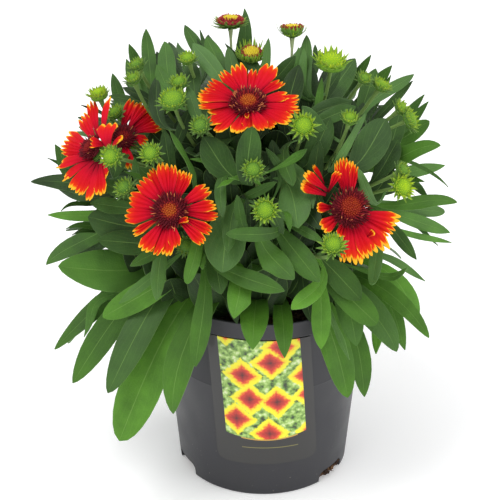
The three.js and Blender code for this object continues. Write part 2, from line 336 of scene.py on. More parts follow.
@dataclass(frozen=True)
class Blank:
    """A modelled shape in a small unit space, held as arrays so that it can be bent and copied."""

    points: Vec
    faces: tuple[tuple[int, ...], ...]

    @classmethod
    def lifted(cls, piece: bpy.types.Object) -> "Blank":
        """Takes a piece's shape into a blank and removes the piece.

        Args:
            piece: the piece, at its place in its own space.

        Returns:
            Its shape.
        """
        points = np.array([vertex.co for vertex in piece.data.vertices], float)
        faces = tuple(tuple(face.vertices) for face in piece.data.polygons)
        bpy.data.meshes.remove(piece.data)
        return cls(points, faces)

    @property
    def mirrored(self) -> "Blank":
        """The same shape with its faces reversed, for a copy that is turned upside down."""
        return Blank(self.points, tuple(face[::-1] for face in self.faces))

    @property
    def from_axis(self) -> Vec:
        """How far each vertex lies from the z axis."""
        return np.hypot(self.points[:, 0], self.points[:, 1])


def spaced(values: Vec, places: Sequence[float]) -> Vec:
    """Moves evenly spaced coordinates to the given places, in order."""
    levels = np.unique(values.round(5))
    return np.asarray(places)[np.searchsorted(levels, values.round(5))]


def slab_blank(columns: Sequence[float], rows: Sequence[float]) -> Blank:
    """Models a closed thin slab from an extruded grid.

    Args:
        columns: where its lines lie across, from -1 to 1.
        rows: where they lie along, from 0 to 1.

    Returns:
        The blank: x across, y along, and z 0 below and 1 above.
    """
    cuts = {"x_subdivisions": len(columns) - 1, "y_subdivisions": len(rows) - 1}
    piece = fresh(bpy.ops.mesh.primitive_grid_add, size=2, **cuts)
    with editing(piece):
        bpy.ops.mesh.select_all(action="SELECT")
        bpy.ops.mesh.extrude_region_move(TRANSFORM_OT_translate={"value": (0, 0, 1)})
        bpy.ops.mesh.select_all(action="SELECT")
        bpy.ops.mesh.normals_make_consistent(inside=False)
    blank = Blank.lifted(piece)
    blank.points[:, 0] = spaced(blank.points[:, 0], columns)
    blank.points[:, 1] = spaced(blank.points[:, 1], rows)
    return blank


def tube_blank(sides: int, rows: Sequence[float]) -> Blank:
    """Models a closed tube from a cylinder whose upright edges are subdivided.

    Args:
        sides: how many sides it has.
        rows: where its rings lie along, from 0 to 1.

    Returns:
        The blank: a unit circle in x and y, and z along it.
    """
    piece = fresh(bpy.ops.mesh.primitive_cylinder_add, vertices=sides, radius=1, depth=1)
    with editing(piece) as mesh:
        bpy.context.tool_settings.mesh_select_mode = (False, True, False)
        for edge in mesh.edges:
            first, second = edge.verts
            edge.select_set(abs(first.co.z - second.co.z) > 0.5)
        bpy.ops.mesh.subdivide(number_cuts=len(rows) - 2)
    blank = Blank.lifted(piece)
    blank.points[:, 2] = spaced(blank.points[:, 2], rows)
    return blank


class Batch:
    """Bent copies of blanks, each with a mesh of its own, gathered into one piece."""

    def __init__(self, name: str) -> None:
        """Starts an empty batch for the piece of that name.

        Args:
            name: what the piece is called.
        """
        self.name = name
        self.points: list[Vec] = []
        self.faces: list[tuple[int, ...]] = []
        self.pattern: list[Vec] = []
        self.tone: list[Vec] = []
        self.under: list[Vec] = []
        self.count = 0

    def add(self, blank: Blank, points: Vec, tone: float | Vec = 0.5, under: float | Vec = 0.0) -> None:
        """Adds one copy of a blank.

        Args:
            blank: the shape that is copied.
            points: where its vertices lie, in mm.
            tone: the copy's shade, from 0 to 1, for all of it or for each vertex.
            under: 1 where the copy's other finish shows, for all of it or for each vertex.
        """
        size = len(points)
        self.points.append(points)
        self.faces.extend(tuple(self.count + index for index in face) for face in blank.faces)
        self.pattern.append(np.column_stack(((blank.points[:, 0] + 1) / 2, blank.points[:, 1])))
        self.tone.append(np.broadcast_to(np.asarray(tone, float), (size,)))
        self.under.append(np.broadcast_to(np.asarray(under, float), (size,)))
        self.count += size

    def build(self, smooth_angle: float = 50) -> bpy.types.Object:
        """Makes the piece, with its pattern map and its tone and under attributes.

        Args:
            smooth_angle: edges that turn by more than this, in degrees, stay sharp.

        Returns:
            The piece.
        """
        mesh = bpy.data.meshes.new(self.name)
        mesh.from_pydata((np.vstack(self.points) * MM).tolist(), [], self.faces)
        corners = np.empty(len(mesh.loops), np.int32)
        mesh.loops.foreach_get("vertex_index", corners)
        layer = mesh.uv_layers.new(name=PATTERN)
        layer.data.foreach_set("uv", np.vstack(self.pattern)[corners].astype(np.float32).ravel())
        for label, values in (("tone", self.tone), ("under", self.under)):
            attribute = mesh.attributes.new(label, "FLOAT", "POINT")
            attribute.data.foreach_set("value", np.concatenate(values).astype(np.float32))
        piece = bpy.data.objects.new(self.name, mesh)
        bpy.context.scene.collection.objects.link(piece)
        return settle(piece, self.name, smooth_angle)


# ---------------------------------------------------------------- finishes


def srgb(code: str) -> tuple[float, float, float, float]:
    """Turns an sRGB hex colour into Blender's linear one.

    Args:
        code: the colour, such as #dc2626.

    Returns:
        Its red, green and blue parts and an alpha of 1.
    """
    parts = (int(code[i : i + 2], 16) / 255 for i in (1, 3, 5))
    linear = (part / 12.92 if part <= 0.04045 else ((part + 0.055) / 1.055) ** 2.4 for part in parts)
    return (*linear, 1.0)


def per_mm(size: float) -> float:
    """Gives the texture scale at which a pattern repeats about every so many millimetres."""
    return 1 / (size * MM)


@dataclass(frozen=True)
class Bench:
    """A material's nodes while a finish is made: its tree and its shader."""

    tree: bpy.types.NodeTree
    shader: bpy.types.Node

    def feed(self, entry: bpy.types.NodeSocket, value: object) -> None:
        """Links an input, or sets it to a plain value or a hex colour.

        Args:
            entry: the input.
            value: what it gets, or None to leave it as it is.
        """
        if isinstance(value, bpy.types.NodeSocket):
            self.tree.links.new(value, entry)
        elif value is not None:
            entry.default_value = srgb(value) if isinstance(value, str) else value

    def add(
        self, kind: str, *values: object, output: str | int = 0, stops: dict[float, str] | None = None,
        **named: object,
    ) -> bpy.types.NodeSocket:
        """Adds a node with its settings and links.

        Args:
            kind: the node's type name, without the words that all of them start with.
            *values: what its inputs get, in order.
            output: which output is wanted.
            stops: places and colours of a colour ramp.
            **named: an input by its name, with _ for a space, or one of the node's own options, which
                have no capital.

        Returns:
            The wanted output socket.
        """
        node = self.tree.nodes.new(f"ShaderNode{kind}")
        inputs: dict[str | int, object] = dict(enumerate(values))
        for name, value in named.items():
            if name[0].isupper():
                inputs[name.replace("_", " ")] = value
            else:
                setattr(node, name, value)
        for key, value in inputs.items():
            self.feed(node.inputs[key], value)
        if stops:
            ramp = node.color_ramp.elements
            ramp.remove(ramp[1])
            (ramp[0].position, first), *rest = stops.items()
            ramp[0].color = srgb(first)
            for position, code in rest:
                ramp.new(position).color = srgb(code)
        return node.outputs[output]

    def shade(self, color: object, height: object = None, relief: float = 0.0, **named: object) -> None:
        """Gives the shader its colour, its bump and its other inputs.

        Args:
            color: the colour's socket or hex value.
            height: the bump's height, or None for a smooth surface.
            relief: how deep the bump is, in mm.
            **named: other inputs by name, with _ for a space.
        """
        if height is not None:
            named["Normal"] = self.add("Bump", Height=height, Distance=relief * MM, Strength=1.0)
        for name, value in {"Base_Color": color, **named}.items():
            self.feed(self.shader.inputs[name.replace("_", " ")], value)


@dataclass(frozen=True)
class Finish:
    """A surface finish. It becomes one material, made once and shared by the pieces that wear it."""

    name: ClassVar[str] = "finish"

    def material(self) -> bpy.types.Material:
        """Gives the finish's material, and makes it on first use.

        Returns:
            The material.
        """
        known = bpy.data.materials.get(self.name)
        if known is not None:
            return known
        made = bpy.data.materials.new(self.name)
        made.use_nodes = True
        shader = next(node for node in made.node_tree.nodes if node.type == "BSDF_PRINCIPLED")
        self.paint(Bench(made.node_tree, shader))
        return made

    def paint(self, bench: Bench) -> None:
        """Adds the finish's nodes and sets its shader."""
        raise NotImplementedError

    def dress(self, piece: bpy.types.Object) -> None:
        """Puts the finish on a piece."""
        piece.data.materials.clear()
        piece.data.materials.append(self.material())


@dataclass(frozen=True)
class PotPlastic(Finish):
    """Recycled polypropylene, blow moulded: near black with a soft grey sheen, scuffs and potting dust."""

    name: ClassVar[str] = "moulded_polypropylene"
    color: str = "#212124"
    scuffed: str = "#2a2a30"
    dust: str = "#8c857a"

    def paint(self, bench: Bench) -> None:
        """Gives blotchy dark plastic with fine grain and sparse dust specks low down.

        Args:
            bench: the material's nodes.
        """
        add = bench.add
        spot = add("TexCoord", output="Object")
        blotch = add("TexNoise", Vector=spot, Scale=per_mm(28), Detail=4.0)
        grain = add("TexNoise", Vector=spot, Scale=per_mm(0.9), Detail=3.0)
        base = add("MixRGB", blotch, self.color, self.scuffed)
        # Dust: small round specks that gather in patches towards the foot of the wall.
        speck = add("TexVoronoi", Vector=spot, Scale=per_mm(4.2))
        fleck = add("MapRange", speck, 0.05, 0.13, 1.0, 0.0)
        height = add("SeparateXYZ", spot, output="Z")
        low = add("MapRange", height, 0.012, 0.06, 0.75, 0.08)
        patch = add("TexNoise", Vector=spot, Scale=per_mm(17), Detail=2.0)
        gathered = add("MapRange", patch, 0.48, 0.62, 0.0, 1.0)
        dusty = add("Math", fleck, low, operation="MULTIPLY")
        dusty = add("Math", dusty, gathered, operation="MULTIPLY")
        color = add("MixRGB", dusty, base, self.dust)
        rough = add("MapRange", blotch, 0.3, 0.7, 0.38, 0.52)
        bench.shade(color, grain, 0.05, Roughness=rough, IOR=1.49)


@dataclass(frozen=True)
class CardPrint(Finish):
    """Varnished printed polystyrene card: warm charcoal, with a picture panel of scattered diamonds.

    Sizes are in mm on the card. Its pattern map runs across the card and up it, in tenths of a metre.
    """

    name: ClassVar[str] = "printed_polystyrene_card"
    ground: str = "#232221"
    edge_gold: str = "#c79a3c"
    rule_gold: str = "#75703c"
    panel_left: float = -30.0
    panel_right: float = 30.5
    panel_bottom: float = 27.5
    panel_sag: float = 4.0
    rule_middle: float = 2.5
    rule_height: float = 15.5
    rule_half: float = 21.0
    motif_spacing: float = 26.0
    motif_scatter: float = 0.7

    def paint(self, bench: Bench) -> None:
        """Gives the plain charcoal ground, the picture panel, its gold edge line and one thin rule.

        Args:
            bench: the material's nodes.
        """
        add = bench.add
        chart = add("UVMap", uv_map=PATTERN, output="UV")
        place_mm = add("VectorMath", chart, Scale=100.0, operation="SCALE")
        across = add("SeparateXYZ", place_mm, output="X")
        up = add("SeparateXYZ", place_mm, output="Y")
        flecks = add("TexNoise", Vector=place_mm, Scale=0.11, Detail=3.0)
        # The panel's lower edge sags to a shallow arc; the gold line follows it.
        bowed = add("Math", across, self.panel_right, operation="DIVIDE")
        bowed = add("Math", bowed, bowed, operation="MULTIPLY")
        lowest = self.panel_bottom - self.panel_sag
        bowed = add("Math", bowed, self.panel_sag, lowest, operation="MULTIPLY_ADD")
        above = add("Math", up, bowed, operation="SUBTRACT")
        inside = add("Math", above, 0.0, operation="GREATER_THAN")
        for side, test in ((self.panel_left, "GREATER_THAN"), (self.panel_right, "LESS_THAN")):
            edge = add("Math", across, side, operation=test)
            inside = add("Math", inside, edge, operation="MULTIPLY")
        color = add("MixRGB", inside, self.ground, self.diamonds(bench, place_mm, flecks))
        # Both gold lines are drawn a little coarser than the real 0.5 mm so that they show.
        within = add("Math", across, self.rule_middle, self.rule_half, operation="COMPARE")
        edge_line = add("Math", above, -0.6, 0.5, operation="COMPARE")
        rule = add("Math", up, self.rule_height, 0.35, operation="COMPARE")
        for line, gold in ((edge_line, self.edge_gold), (rule, self.rule_gold)):
            color = add("MixRGB", add("Math", line, within, operation="MULTIPLY"), color, gold)
        bench.shade(color, flecks, 0.02, Roughness=0.34, IOR=1.5, Coat_Weight=0.25)

    def diamonds(
        self, bench: Bench, place_mm: bpy.types.NodeSocket, flecks: bpy.types.NodeSocket
    ) -> bpy.types.NodeSocket:
        """Draws scattered diamonds, red within orange within yellow, on soft blurred greens.

        Args:
            bench: the material's nodes.
            place_mm: the place on the card, in mm.
            flecks: a soft noise that roughens their outlines.

        Returns:
            The picture's colour.
        """
        add = bench.add
        cell = add(
            "TexVoronoi", Vector=place_mm, Scale=1 / self.motif_spacing, Randomness=self.motif_scatter,
            distance="MANHATTAN", voronoi_dimensions="2D",
        )
        rough = add("TexNoise", Vector=place_mm, Scale=0.55, Detail=3.0)
        outline = add("Math", flecks, 0.2, cell, operation="MULTIPLY_ADD")
        outline = add("Math", rough, 0.2, outline, operation="MULTIPLY_ADD")
        diamond = add("ValToRGB", outline, stops={
            0.2: "#571412", 0.33: "#a01c18", 0.48: "#d2331e", 0.55: "#ea701c", 0.6: "#f2c818",
            0.65: "#f2e41a", 0.8: "#f2ec24",
        })
        tuft = add("TexNoise", Vector=place_mm, Scale=0.2, Detail=3.0)
        greens = {0.34: "#2c3c24", 0.45: "#6c943c", 0.56: "#a4c866", 0.68: "#dce8b4"}
        beyond = add("MapRange", outline, 0.76, 0.82, 0.0, 1.0)
        return add("MixRGB", beyond, diamond, add("ValToRGB", tuft, stops=greens))


@dataclass(frozen=True)
class PottingMix(Finish):
    """Damp peat and composted bark: dark brown crumbs with paler fibres, quite matt."""

    name: ClassVar[str] = "peat_and_bark"

    def paint(self, bench: Bench) -> None:
        """Gives crumbly browns with a deep rough bump.

        Args:
            bench: the material's nodes.
        """
        spot = bench.add("TexCoord", output="Object")
        crumb = bench.add("TexVoronoi", Vector=spot, Scale=per_mm(2.6))
        blotch = bench.add("TexNoise", Vector=spot, Scale=per_mm(7), Detail=6.0)
        browns = {0.3: "#20140d", 0.5: "#3d2717", 0.62: "#5e4129", 0.75: "#8a6a48"}
        bench.shade(bench.add("ValToRGB", blotch, stops=browns), crumb, 1.1, Roughness=0.95)


@dataclass(frozen=True)
class CrownBark(Finish):
    """Woody plant base: olive brown and fibrous, with a dry sheen on its ridges."""

    name: ClassVar[str] = "woody_crown"

    def paint(self, bench: Bench) -> None:
        """Gives upright fibres in olive and brown.

        Args:
            bench: the material's nodes.
        """
        spot = bench.add("TexCoord", output="Object")
        upright = bench.add("Mapping", Vector=spot, Scale=(1.0, 1.0, 0.2))
        fibre = bench.add("TexNoise", Vector=upright, Scale=per_mm(2), Detail=5.0)
        olives = {0.3: "#38331c", 0.5: "#5f5c31", 0.7: "#80703c"}
        bench.shade(bench.add("ValToRGB", fibre, stops=olives), fibre, 0.6, Roughness=0.8)


@dataclass(frozen=True)
class MottledFinish(Finish):
    """A soft growing skin whose colour goes by tone and wanders a little with a fine mottle."""

    mottle_mm: ClassVar[float]
    detail: ClassVar[float]
    wander: ClassVar[float]
    colors: ClassVar[dict[float, str]]

    def mottled(self, bench: Bench) -> tuple[bpy.types.NodeSocket, bpy.types.NodeSocket]:
        """Gives the colour, and the mottle for the bump.

        Args:
            bench: the material's nodes.

        Returns:
            Both sockets.
        """
        spot = bench.add("TexCoord", output="Object")
        tone = bench.add("Attribute", attribute_name="tone", output="Fac")
        mottle = bench.add("TexNoise", Vector=spot, Scale=per_mm(self.mottle_mm), Detail=self.detail)
        shade = bench.add("Math", mottle, self.wander, -self.wander / 2, operation="MULTIPLY_ADD")
        shade = bench.add("Math", shade, tone, operation="ADD")
        return bench.add("ValToRGB", shade, stops=self.colors), mottle


@dataclass(frozen=True)
class HairySkin(MottledFinish):
    """Young stem and bract skin: soft green under short pale hairs that lighten its edges.

    Tone 0 is a stem, 0.5 a bract and 1 the bright middle of a bud; under is how much pale hair shows.
    Hairs are under 0.2 mm apart, and the mottle is drawn at 0.8 mm so that it shows.
    """

    name: ClassVar[str] = "hairy_green_skin"
    mottle_mm: ClassVar[float] = 0.8
    detail: ClassVar[float] = 4.0
    wander: ClassVar[float] = 0.3
    colors: ClassVar[dict[float, str]] = {
        0.0: "#5d7b39", 0.18: "#6e9040", 0.3: "#466a2e", 0.45: "#5c842a", 0.6: "#7ea422",
        0.75: "#9ebe0c", 0.88: "#bcd208", 1.0: "#d2e424",
    }
    hairs: str = "#b3bd95"
    hair: float = 0.03

    def paint(self, bench: Bench) -> None:
        """Gives the greens by tone, a fine hairy mottle and the hairs' pale sheen.

        Args:
            bench: the material's nodes.
        """
        color, mottle = self.mottled(bench)
        hairs = bench.add("Attribute", attribute_name="under", output="Fac")
        bench.shade(
            bench.add("MixRGB", hairs, color, self.hairs), mottle, 0.25,
            Roughness=0.62, Specular_IOR_Level=0.1, Sheen_Weight=self.hair, Sheen_Roughness=0.45,
        )


@dataclass(frozen=True)
class LeafSkin(Finish):
    """Living leaf blade: satin green under fine felt, a pale sunken midrib, faint side veins, pale below.

    Tone runs from 0, dark, to 1, a fresh leaf: an old leaf is dark, and a leaf deep in the mound is given a
    dark tone as painted shade. Under is 1 on the lower face; on the upper face it is the share of pale grey,
    partly felt and partly a painted sheen.
    """

    name: ClassVar[str] = "felted_leaf"
    midrib: str = "#86ad58"
    underside_felt_and_sheen: str = "#5a7d49"
    pale_share: float = 0.6
    rib_strength: float = 0.32
    vein_strength: float = 0.11
    vein_spacing: float = 0.085
    vein_slant: float = 1.1

    def paint(self, bench: Bench) -> None:
        """Gives the greens by tone, the veins from the pattern map and a soft felted bump.

        Args:
            bench: the material's nodes.
        """
        add = bench.add
        chart = add("UVMap", uv_map=PATTERN, output="UV")
        along = add("SeparateXYZ", chart, output="Y")
        off_middle = add("Math", add("SeparateXYZ", chart, output="X"), 0.5, operation="SUBTRACT")
        off_middle = add("Math", off_middle, operation="ABSOLUTE")
        rib_edge = add("MapRange", along, 0.0, 1.0, 0.04, 0.014)
        rib = add("MapRange", off_middle, 0.006, rib_edge, 1.0, 0.0, interpolation_type="SMOOTHSTEP")
        slanted = add("Math", off_middle, -self.vein_slant, along, operation="MULTIPLY_ADD")
        ripple = add("Math", slanted, self.vein_spacing, operation="PINGPONG")
        vein = add("MapRange", ripple, 0.0, 0.016, 0.5, 0.0, interpolation_type="SMOOTHSTEP")
        rim = add("MapRange", off_middle, 0.475, 0.5, 0.0, 0.17)
        spot = add("TexCoord", output="Object")
        patch = add("TexNoise", Vector=spot, Scale=per_mm(18), Detail=4.0)
        felt = add("TexNoise", Vector=spot, Scale=per_mm(1.1), Detail=3.0)
        tone = add("Attribute", attribute_name="tone", output="Fac")
        shade = add("Math", patch, 0.5, -0.25, operation="MULTIPLY_ADD")
        shade = add("Math", shade, tone, operation="ADD")
        shade = add("Math", felt, 0.14, shade, operation="MULTIPLY_ADD")
        green = add("ValToRGB", shade, stops={
            0.0: "#17260f", 0.25: "#263f18", 0.5: "#37591f", 0.75: "#467122", 1.0: "#5b8f2c",
        })
        under = add("Attribute", attribute_name="under", output="Fac")
        # The pale grey goes on the lower face, and on an upper face as partly grey felt and partly painted
        # sheen.
        pale = add("Math", under, self.pale_share, operation="MULTIPLY")
        lines = add("Math", vein, self.vein_strength, operation="MULTIPLY")
        lines = add("Math", rib, self.rib_strength, lines, operation="MULTIPLY_ADD")
        lines = add("Math", lines, rim, operation="MAXIMUM")
        lines = add("Math", lines, 0.6, operation="MINIMUM")
        color = add("MixRGB", lines, add("MixRGB", pale, green, self.underside_felt_and_sheen), self.midrib)
        sunken = add("Math", lines, -1.0, felt, operation="MULTIPLY_ADD")
        bench.shade(
            color, sunken, 0.3,
            Roughness=0.5, IOR=1.4, Specular_IOR_Level=0.3, Sheen_Weight=0.03, Sheen_Roughness=0.4,
        )


@dataclass(frozen=True)
class RaySkin(Finish):
    """Petal of a ray floret: velvety scarlet, crimson at the base, its lobes edged orange and yellow.

    Under is 1 on the lower face, which is orange and shows where a ray curls. Tone is how far the
    orange and yellow reach in from the tip: 0 a little, 1 far.
    """

    name: ClassVar[str] = "velvet_petal"

    def paint(self, bench: Bench) -> None:
        """Gives the reds along the ray, its fine lengthwise veins and its soft velvet.

        Args:
            bench: the material's nodes.
        """
        add = bench.add
        chart = add("UVMap", uv_map=PATTERN, output="UV")
        x = add("SeparateXYZ", chart, output="X")
        along = add("SeparateXYZ", chart, output="Y")
        tone = add("Attribute", attribute_name="tone", output="Fac")
        # Each ray has its own streaks: the tone shifts the noise, which is stretched along the ray.
        stretched = add("Mapping", Vector=add("CombineXYZ", x, along, tone), Scale=(14.0, 1.6, 40.0))
        streak = add("TexNoise", Vector=stretched, Scale=1.0, Detail=3.0)
        reach = add("Math", streak, 0.18, -0.09, operation="MULTIPLY_ADD")
        reach = add("Math", reach, along, operation="ADD")
        reach = add("Math", tone, 0.1, reach, operation="MULTIPLY_ADD")
        edge = add("Math", add("Math", x, 0.5, operation="SUBTRACT"), operation="ABSOLUTE")
        edge = add("MapRange", edge, 0.42, 0.5, 0.0, 1.0)
        # Margins: painted shade darkens the edges towards the base, where the rays overlap, and turns into a
        # thin orange edge further out.
        margin_shade_and_gold = add("MapRange", along, 0.0, 0.9, -0.4, 0.3)
        reach = add("Math", edge, margin_shade_and_gold, reach, operation="MULTIPLY_ADD")
        upper = add("ValToRGB", reach, stops={
            0.04: "#4a0714", 0.2: "#9c1026", 0.45: "#c8142c", 0.75: "#cc1c20", 0.93: "#d63714",
            0.98: "#ea821c", 1.0: "#f4b52e",
        })
        oranges = {0.2: "#9c3016", 0.6: "#cf5417", 0.85: "#e8871f", 1.0: "#f3b52e"}
        under = add("Attribute", attribute_name="under", output="Fac")
        color = add("MixRGB", under, upper, add("ValToRGB", reach, stops=oranges))
        bench.shade(color, streak, 0.35, Roughness=0.6, IOR=1.3, Specular_IOR_Level=0.1)


@dataclass(frozen=True)
class FloretSkin(MottledFinish):
    """Bristly disc florets: gold in the middle, brick red, then maroon; stigmas pale orange.

    Tone runs from 0 in the middle to 1 at the rim; under is 1 on a stigma.
    """

    name: ClassVar[str] = "bristly_florets"
    mottle_mm: ClassVar[float] = 0.7
    detail: ClassVar[float] = 2.0
    wander: ClassVar[float] = 0.24
    colors: ClassVar[dict[float, str]] = {
        0.0: "#cf9a2c", 0.14: "#c06a1e", 0.3: "#ad3f16", 0.45: "#96201a", 0.62: "#84141f",
        0.8: "#660e1c", 1.0: "#480a15",
    }
    stigma: str = "#cf7a48"

    def paint(self, bench: Bench) -> None:
        """Gives the colours by ring, broken up by a fine bristly noise.

        Args:
            bench: the material's nodes.
        """
        color, bristle = self.mottled(bench)
        under = bench.add("Attribute", attribute_name="under", output="Fac")
        color = bench.add("MixRGB", under, color, self.stigma)
        bench.shade(color, bristle, 0.3, Roughness=0.75, Specular_IOR_Level=0.3)


@dataclass(frozen=True)
class OpeningFloretSkin(MottledFinish):
    """Florets of a head that is about to open: lemon yellow top, dark red unfurling rays round it."""

    name: ClassVar[str] = "young_florets"
    mottle_mm: ClassVar[float] = 0.8
    detail: ClassVar[float] = 2.0
    wander: ClassVar[float] = 0.2
    colors: ClassVar[dict[float, str]] = {
        0.0: "#ecdc34", 0.3: "#c8b634", 0.45: "#ac652a", 0.6: "#90201f", 0.8: "#8c1420",
        1.0: "#b23430",
    }

    def paint(self, bench: Bench) -> None:
        """Gives yellow by tone 0 to dark red by tone 1."""
        color, bristle = self.mottled(bench)
        bench.shade(color, bristle, 0.2, Roughness=0.65)


@dataclass(frozen=True)
class StudioPaper(Finish):
    """Matt white background paper: plain and pale, with no grain that shows, and a faint glow of its own,
    painted light that lightens the shadows on it.
    """

    name: ClassVar[str] = "background_paper"
    white: str = "#fdfdfd"

    def paint(self, bench: Bench) -> None:
        """Gives one plain pale colour and a faint glow, painted light that lightens the shadows on the floor.
        """
        bench.shade(self.white, Roughness=0.9, Emission_Color=self.white, Emission_Strength=0.14)


# ---------------------------------------------------------------- handing pieces over


class Slot(Enum):
    """The record's material slots."""

    POT = "pot"
    SOIL = "soil"
    CROWN = "crown"
    CARD = "card"
    STEM = "stem"
    LEAF = "leaf"
    RAYS = "rays"
    DISC = "disc"
    OPENING_DISC = "opening_disc"
    BUD = "bud"


SLOT_FINISH: dict[Slot, Finish] = {
    Slot.POT: PotPlastic(),
    Slot.SOIL: PottingMix(),
    Slot.CROWN: CrownBark(),
    Slot.CARD: CardPrint(),
    Slot.STEM: HairySkin(),
    Slot.LEAF: LeafSkin(),
    Slot.RAYS: RaySkin(),
    Slot.DISC: FloretSkin(),
    Slot.OPENING_DISC: OpeningFloretSkin(),
    Slot.BUD: HairySkin(),
}


def hand_over(piece: bpy.types.Object, slot: Slot, *nodes: str) -> None:
    """Dresses a finished piece and puts it on the frame.

    Args:
        piece: the finished piece.
        slot: the material slot that it takes its finish from.
        *nodes: the CAD nodes that it stands for.
    """
    SLOT_FINISH[slot].dress(piece)
    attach(piece, BODY)
    if nodes:
        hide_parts(*nodes)
    LOG.info("%s: %d faces, %s", piece.name, len(piece.data.polygons), slot.value)


# ---------------------------------------------------------------- pot, soil, crown and label


@dataclass
class Pot:
    """The nursery pot: a tapered wall under a deep rim band, with drain slots through its foot."""

    height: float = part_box("pot")[1].z / MM
    rim_radius: float = 82.5
    rim_depth: float = 13.5
    rim_taper: float = 0.8
    under_rim_radius: float = 77.5
    base_radius: float = 64.0
    wall: float = 1.8
    floor: float = 2.2
    segments: int = 144
    edge_round: float = 0.7
    line_height: float = 96.0
    line_depth: float = 0.35
    line_half: float = 1.2
    slot_bearings: tuple[float, ...] = (-66.0, 54.0, 174.0)
    slot_width: float = 28.0
    slot_height: float = 9.0
    slot_corner: float = 5.0
    slot_depth: float = 11.0

    @property
    def under_rim(self) -> float:
        """The height of the rim band's lower edge."""
        return self.height - self.rim_depth

    def radius(self, height: float | Vec) -> float | Vec:
        """Gives the wall's outer radius at a height."""
        return self.base_radius + (self.under_rim_radius - self.base_radius) * height / self.under_rim

    def build(self) -> None:
        """Models the shell, rounds its edges and cuts its drain slots."""
        line = self.line_height
        outline = [
            (self.base_radius, 0.0),
            (self.radius(line - self.line_half), line - self.line_half),
            (self.radius(line) + self.line_depth, line),
            (self.radius(line + self.line_half), line + self.line_half),
            (self.under_rim_radius, self.under_rim),
            (self.rim_radius - self.rim_taper, self.under_rim),
            (self.rim_radius, self.height),
            (self.rim_radius - self.wall, self.height),
            (self.under_rim_radius - self.wall, self.under_rim + self.wall),
            (self.radius(self.floor) - self.wall, self.floor),
        ]
        shell = turned("pot_moulding", outline, self.segments)
        bevel = {"width": self.edge_round * MM, "segments": 3, "limit_method": "ANGLE"}
        apply_modifier(shell, "BEVEL", angle_limit=math.radians(35), **bevel)
        self.cut_slots(shell, self.slot_bearings)
        hand_over(settle(shell, "pot_moulding", 32), Slot.POT, "pot")

    def cut_slots(self, piece: bpy.types.Object, bearings: Sequence[float]) -> None:
        """Cuts a drain slot out of a piece at each bearing.

        Args:
            piece: the wall, or what fills the pot.
            bearings: where the slots are, in degrees.
        """
        for bearing in bearings:
            cutter = self.slot_cutter(bearing)
            apply_modifier(piece, "BOOLEAN", object=cutter, operation="DIFFERENCE", solver="EXACT")
            bpy.data.meshes.remove(cutter.data)

    def slot_cutter(self, bearing: float) -> bpy.types.Object:
        """Models the block that cuts one slot, its two upper edges rounded.

        Args:
            bearing: where the slot is, in degrees.

        Returns:
            The block.
        """
        cutter = fresh(bpy.ops.mesh.primitive_cube_add, size=1)
        size = Vector((self.slot_width, 2 * self.slot_depth, 2 * self.slot_height)) * MM
        for vertex in cutter.data.vertices:
            vertex.co = vertex.co * size
        with editing(cutter) as mesh:
            bpy.context.tool_settings.mesh_select_mode = (False, True, False)
            for edge in mesh.edges:
                middle = (edge.verts[0].co + edge.verts[1].co) / 2
                edge.select_set(middle.z > 0 and abs(middle.x) > 0.4 * size.x)
            bpy.ops.mesh.bevel(offset=self.slot_corner * MM, segments=6)
        cutter.rotation_euler = (0, 0, math.radians(bearing))
        cutter.location = Vector(outward(bearing) * self.base_radius * MM)
        return settle(cutter, "slot_cutter")


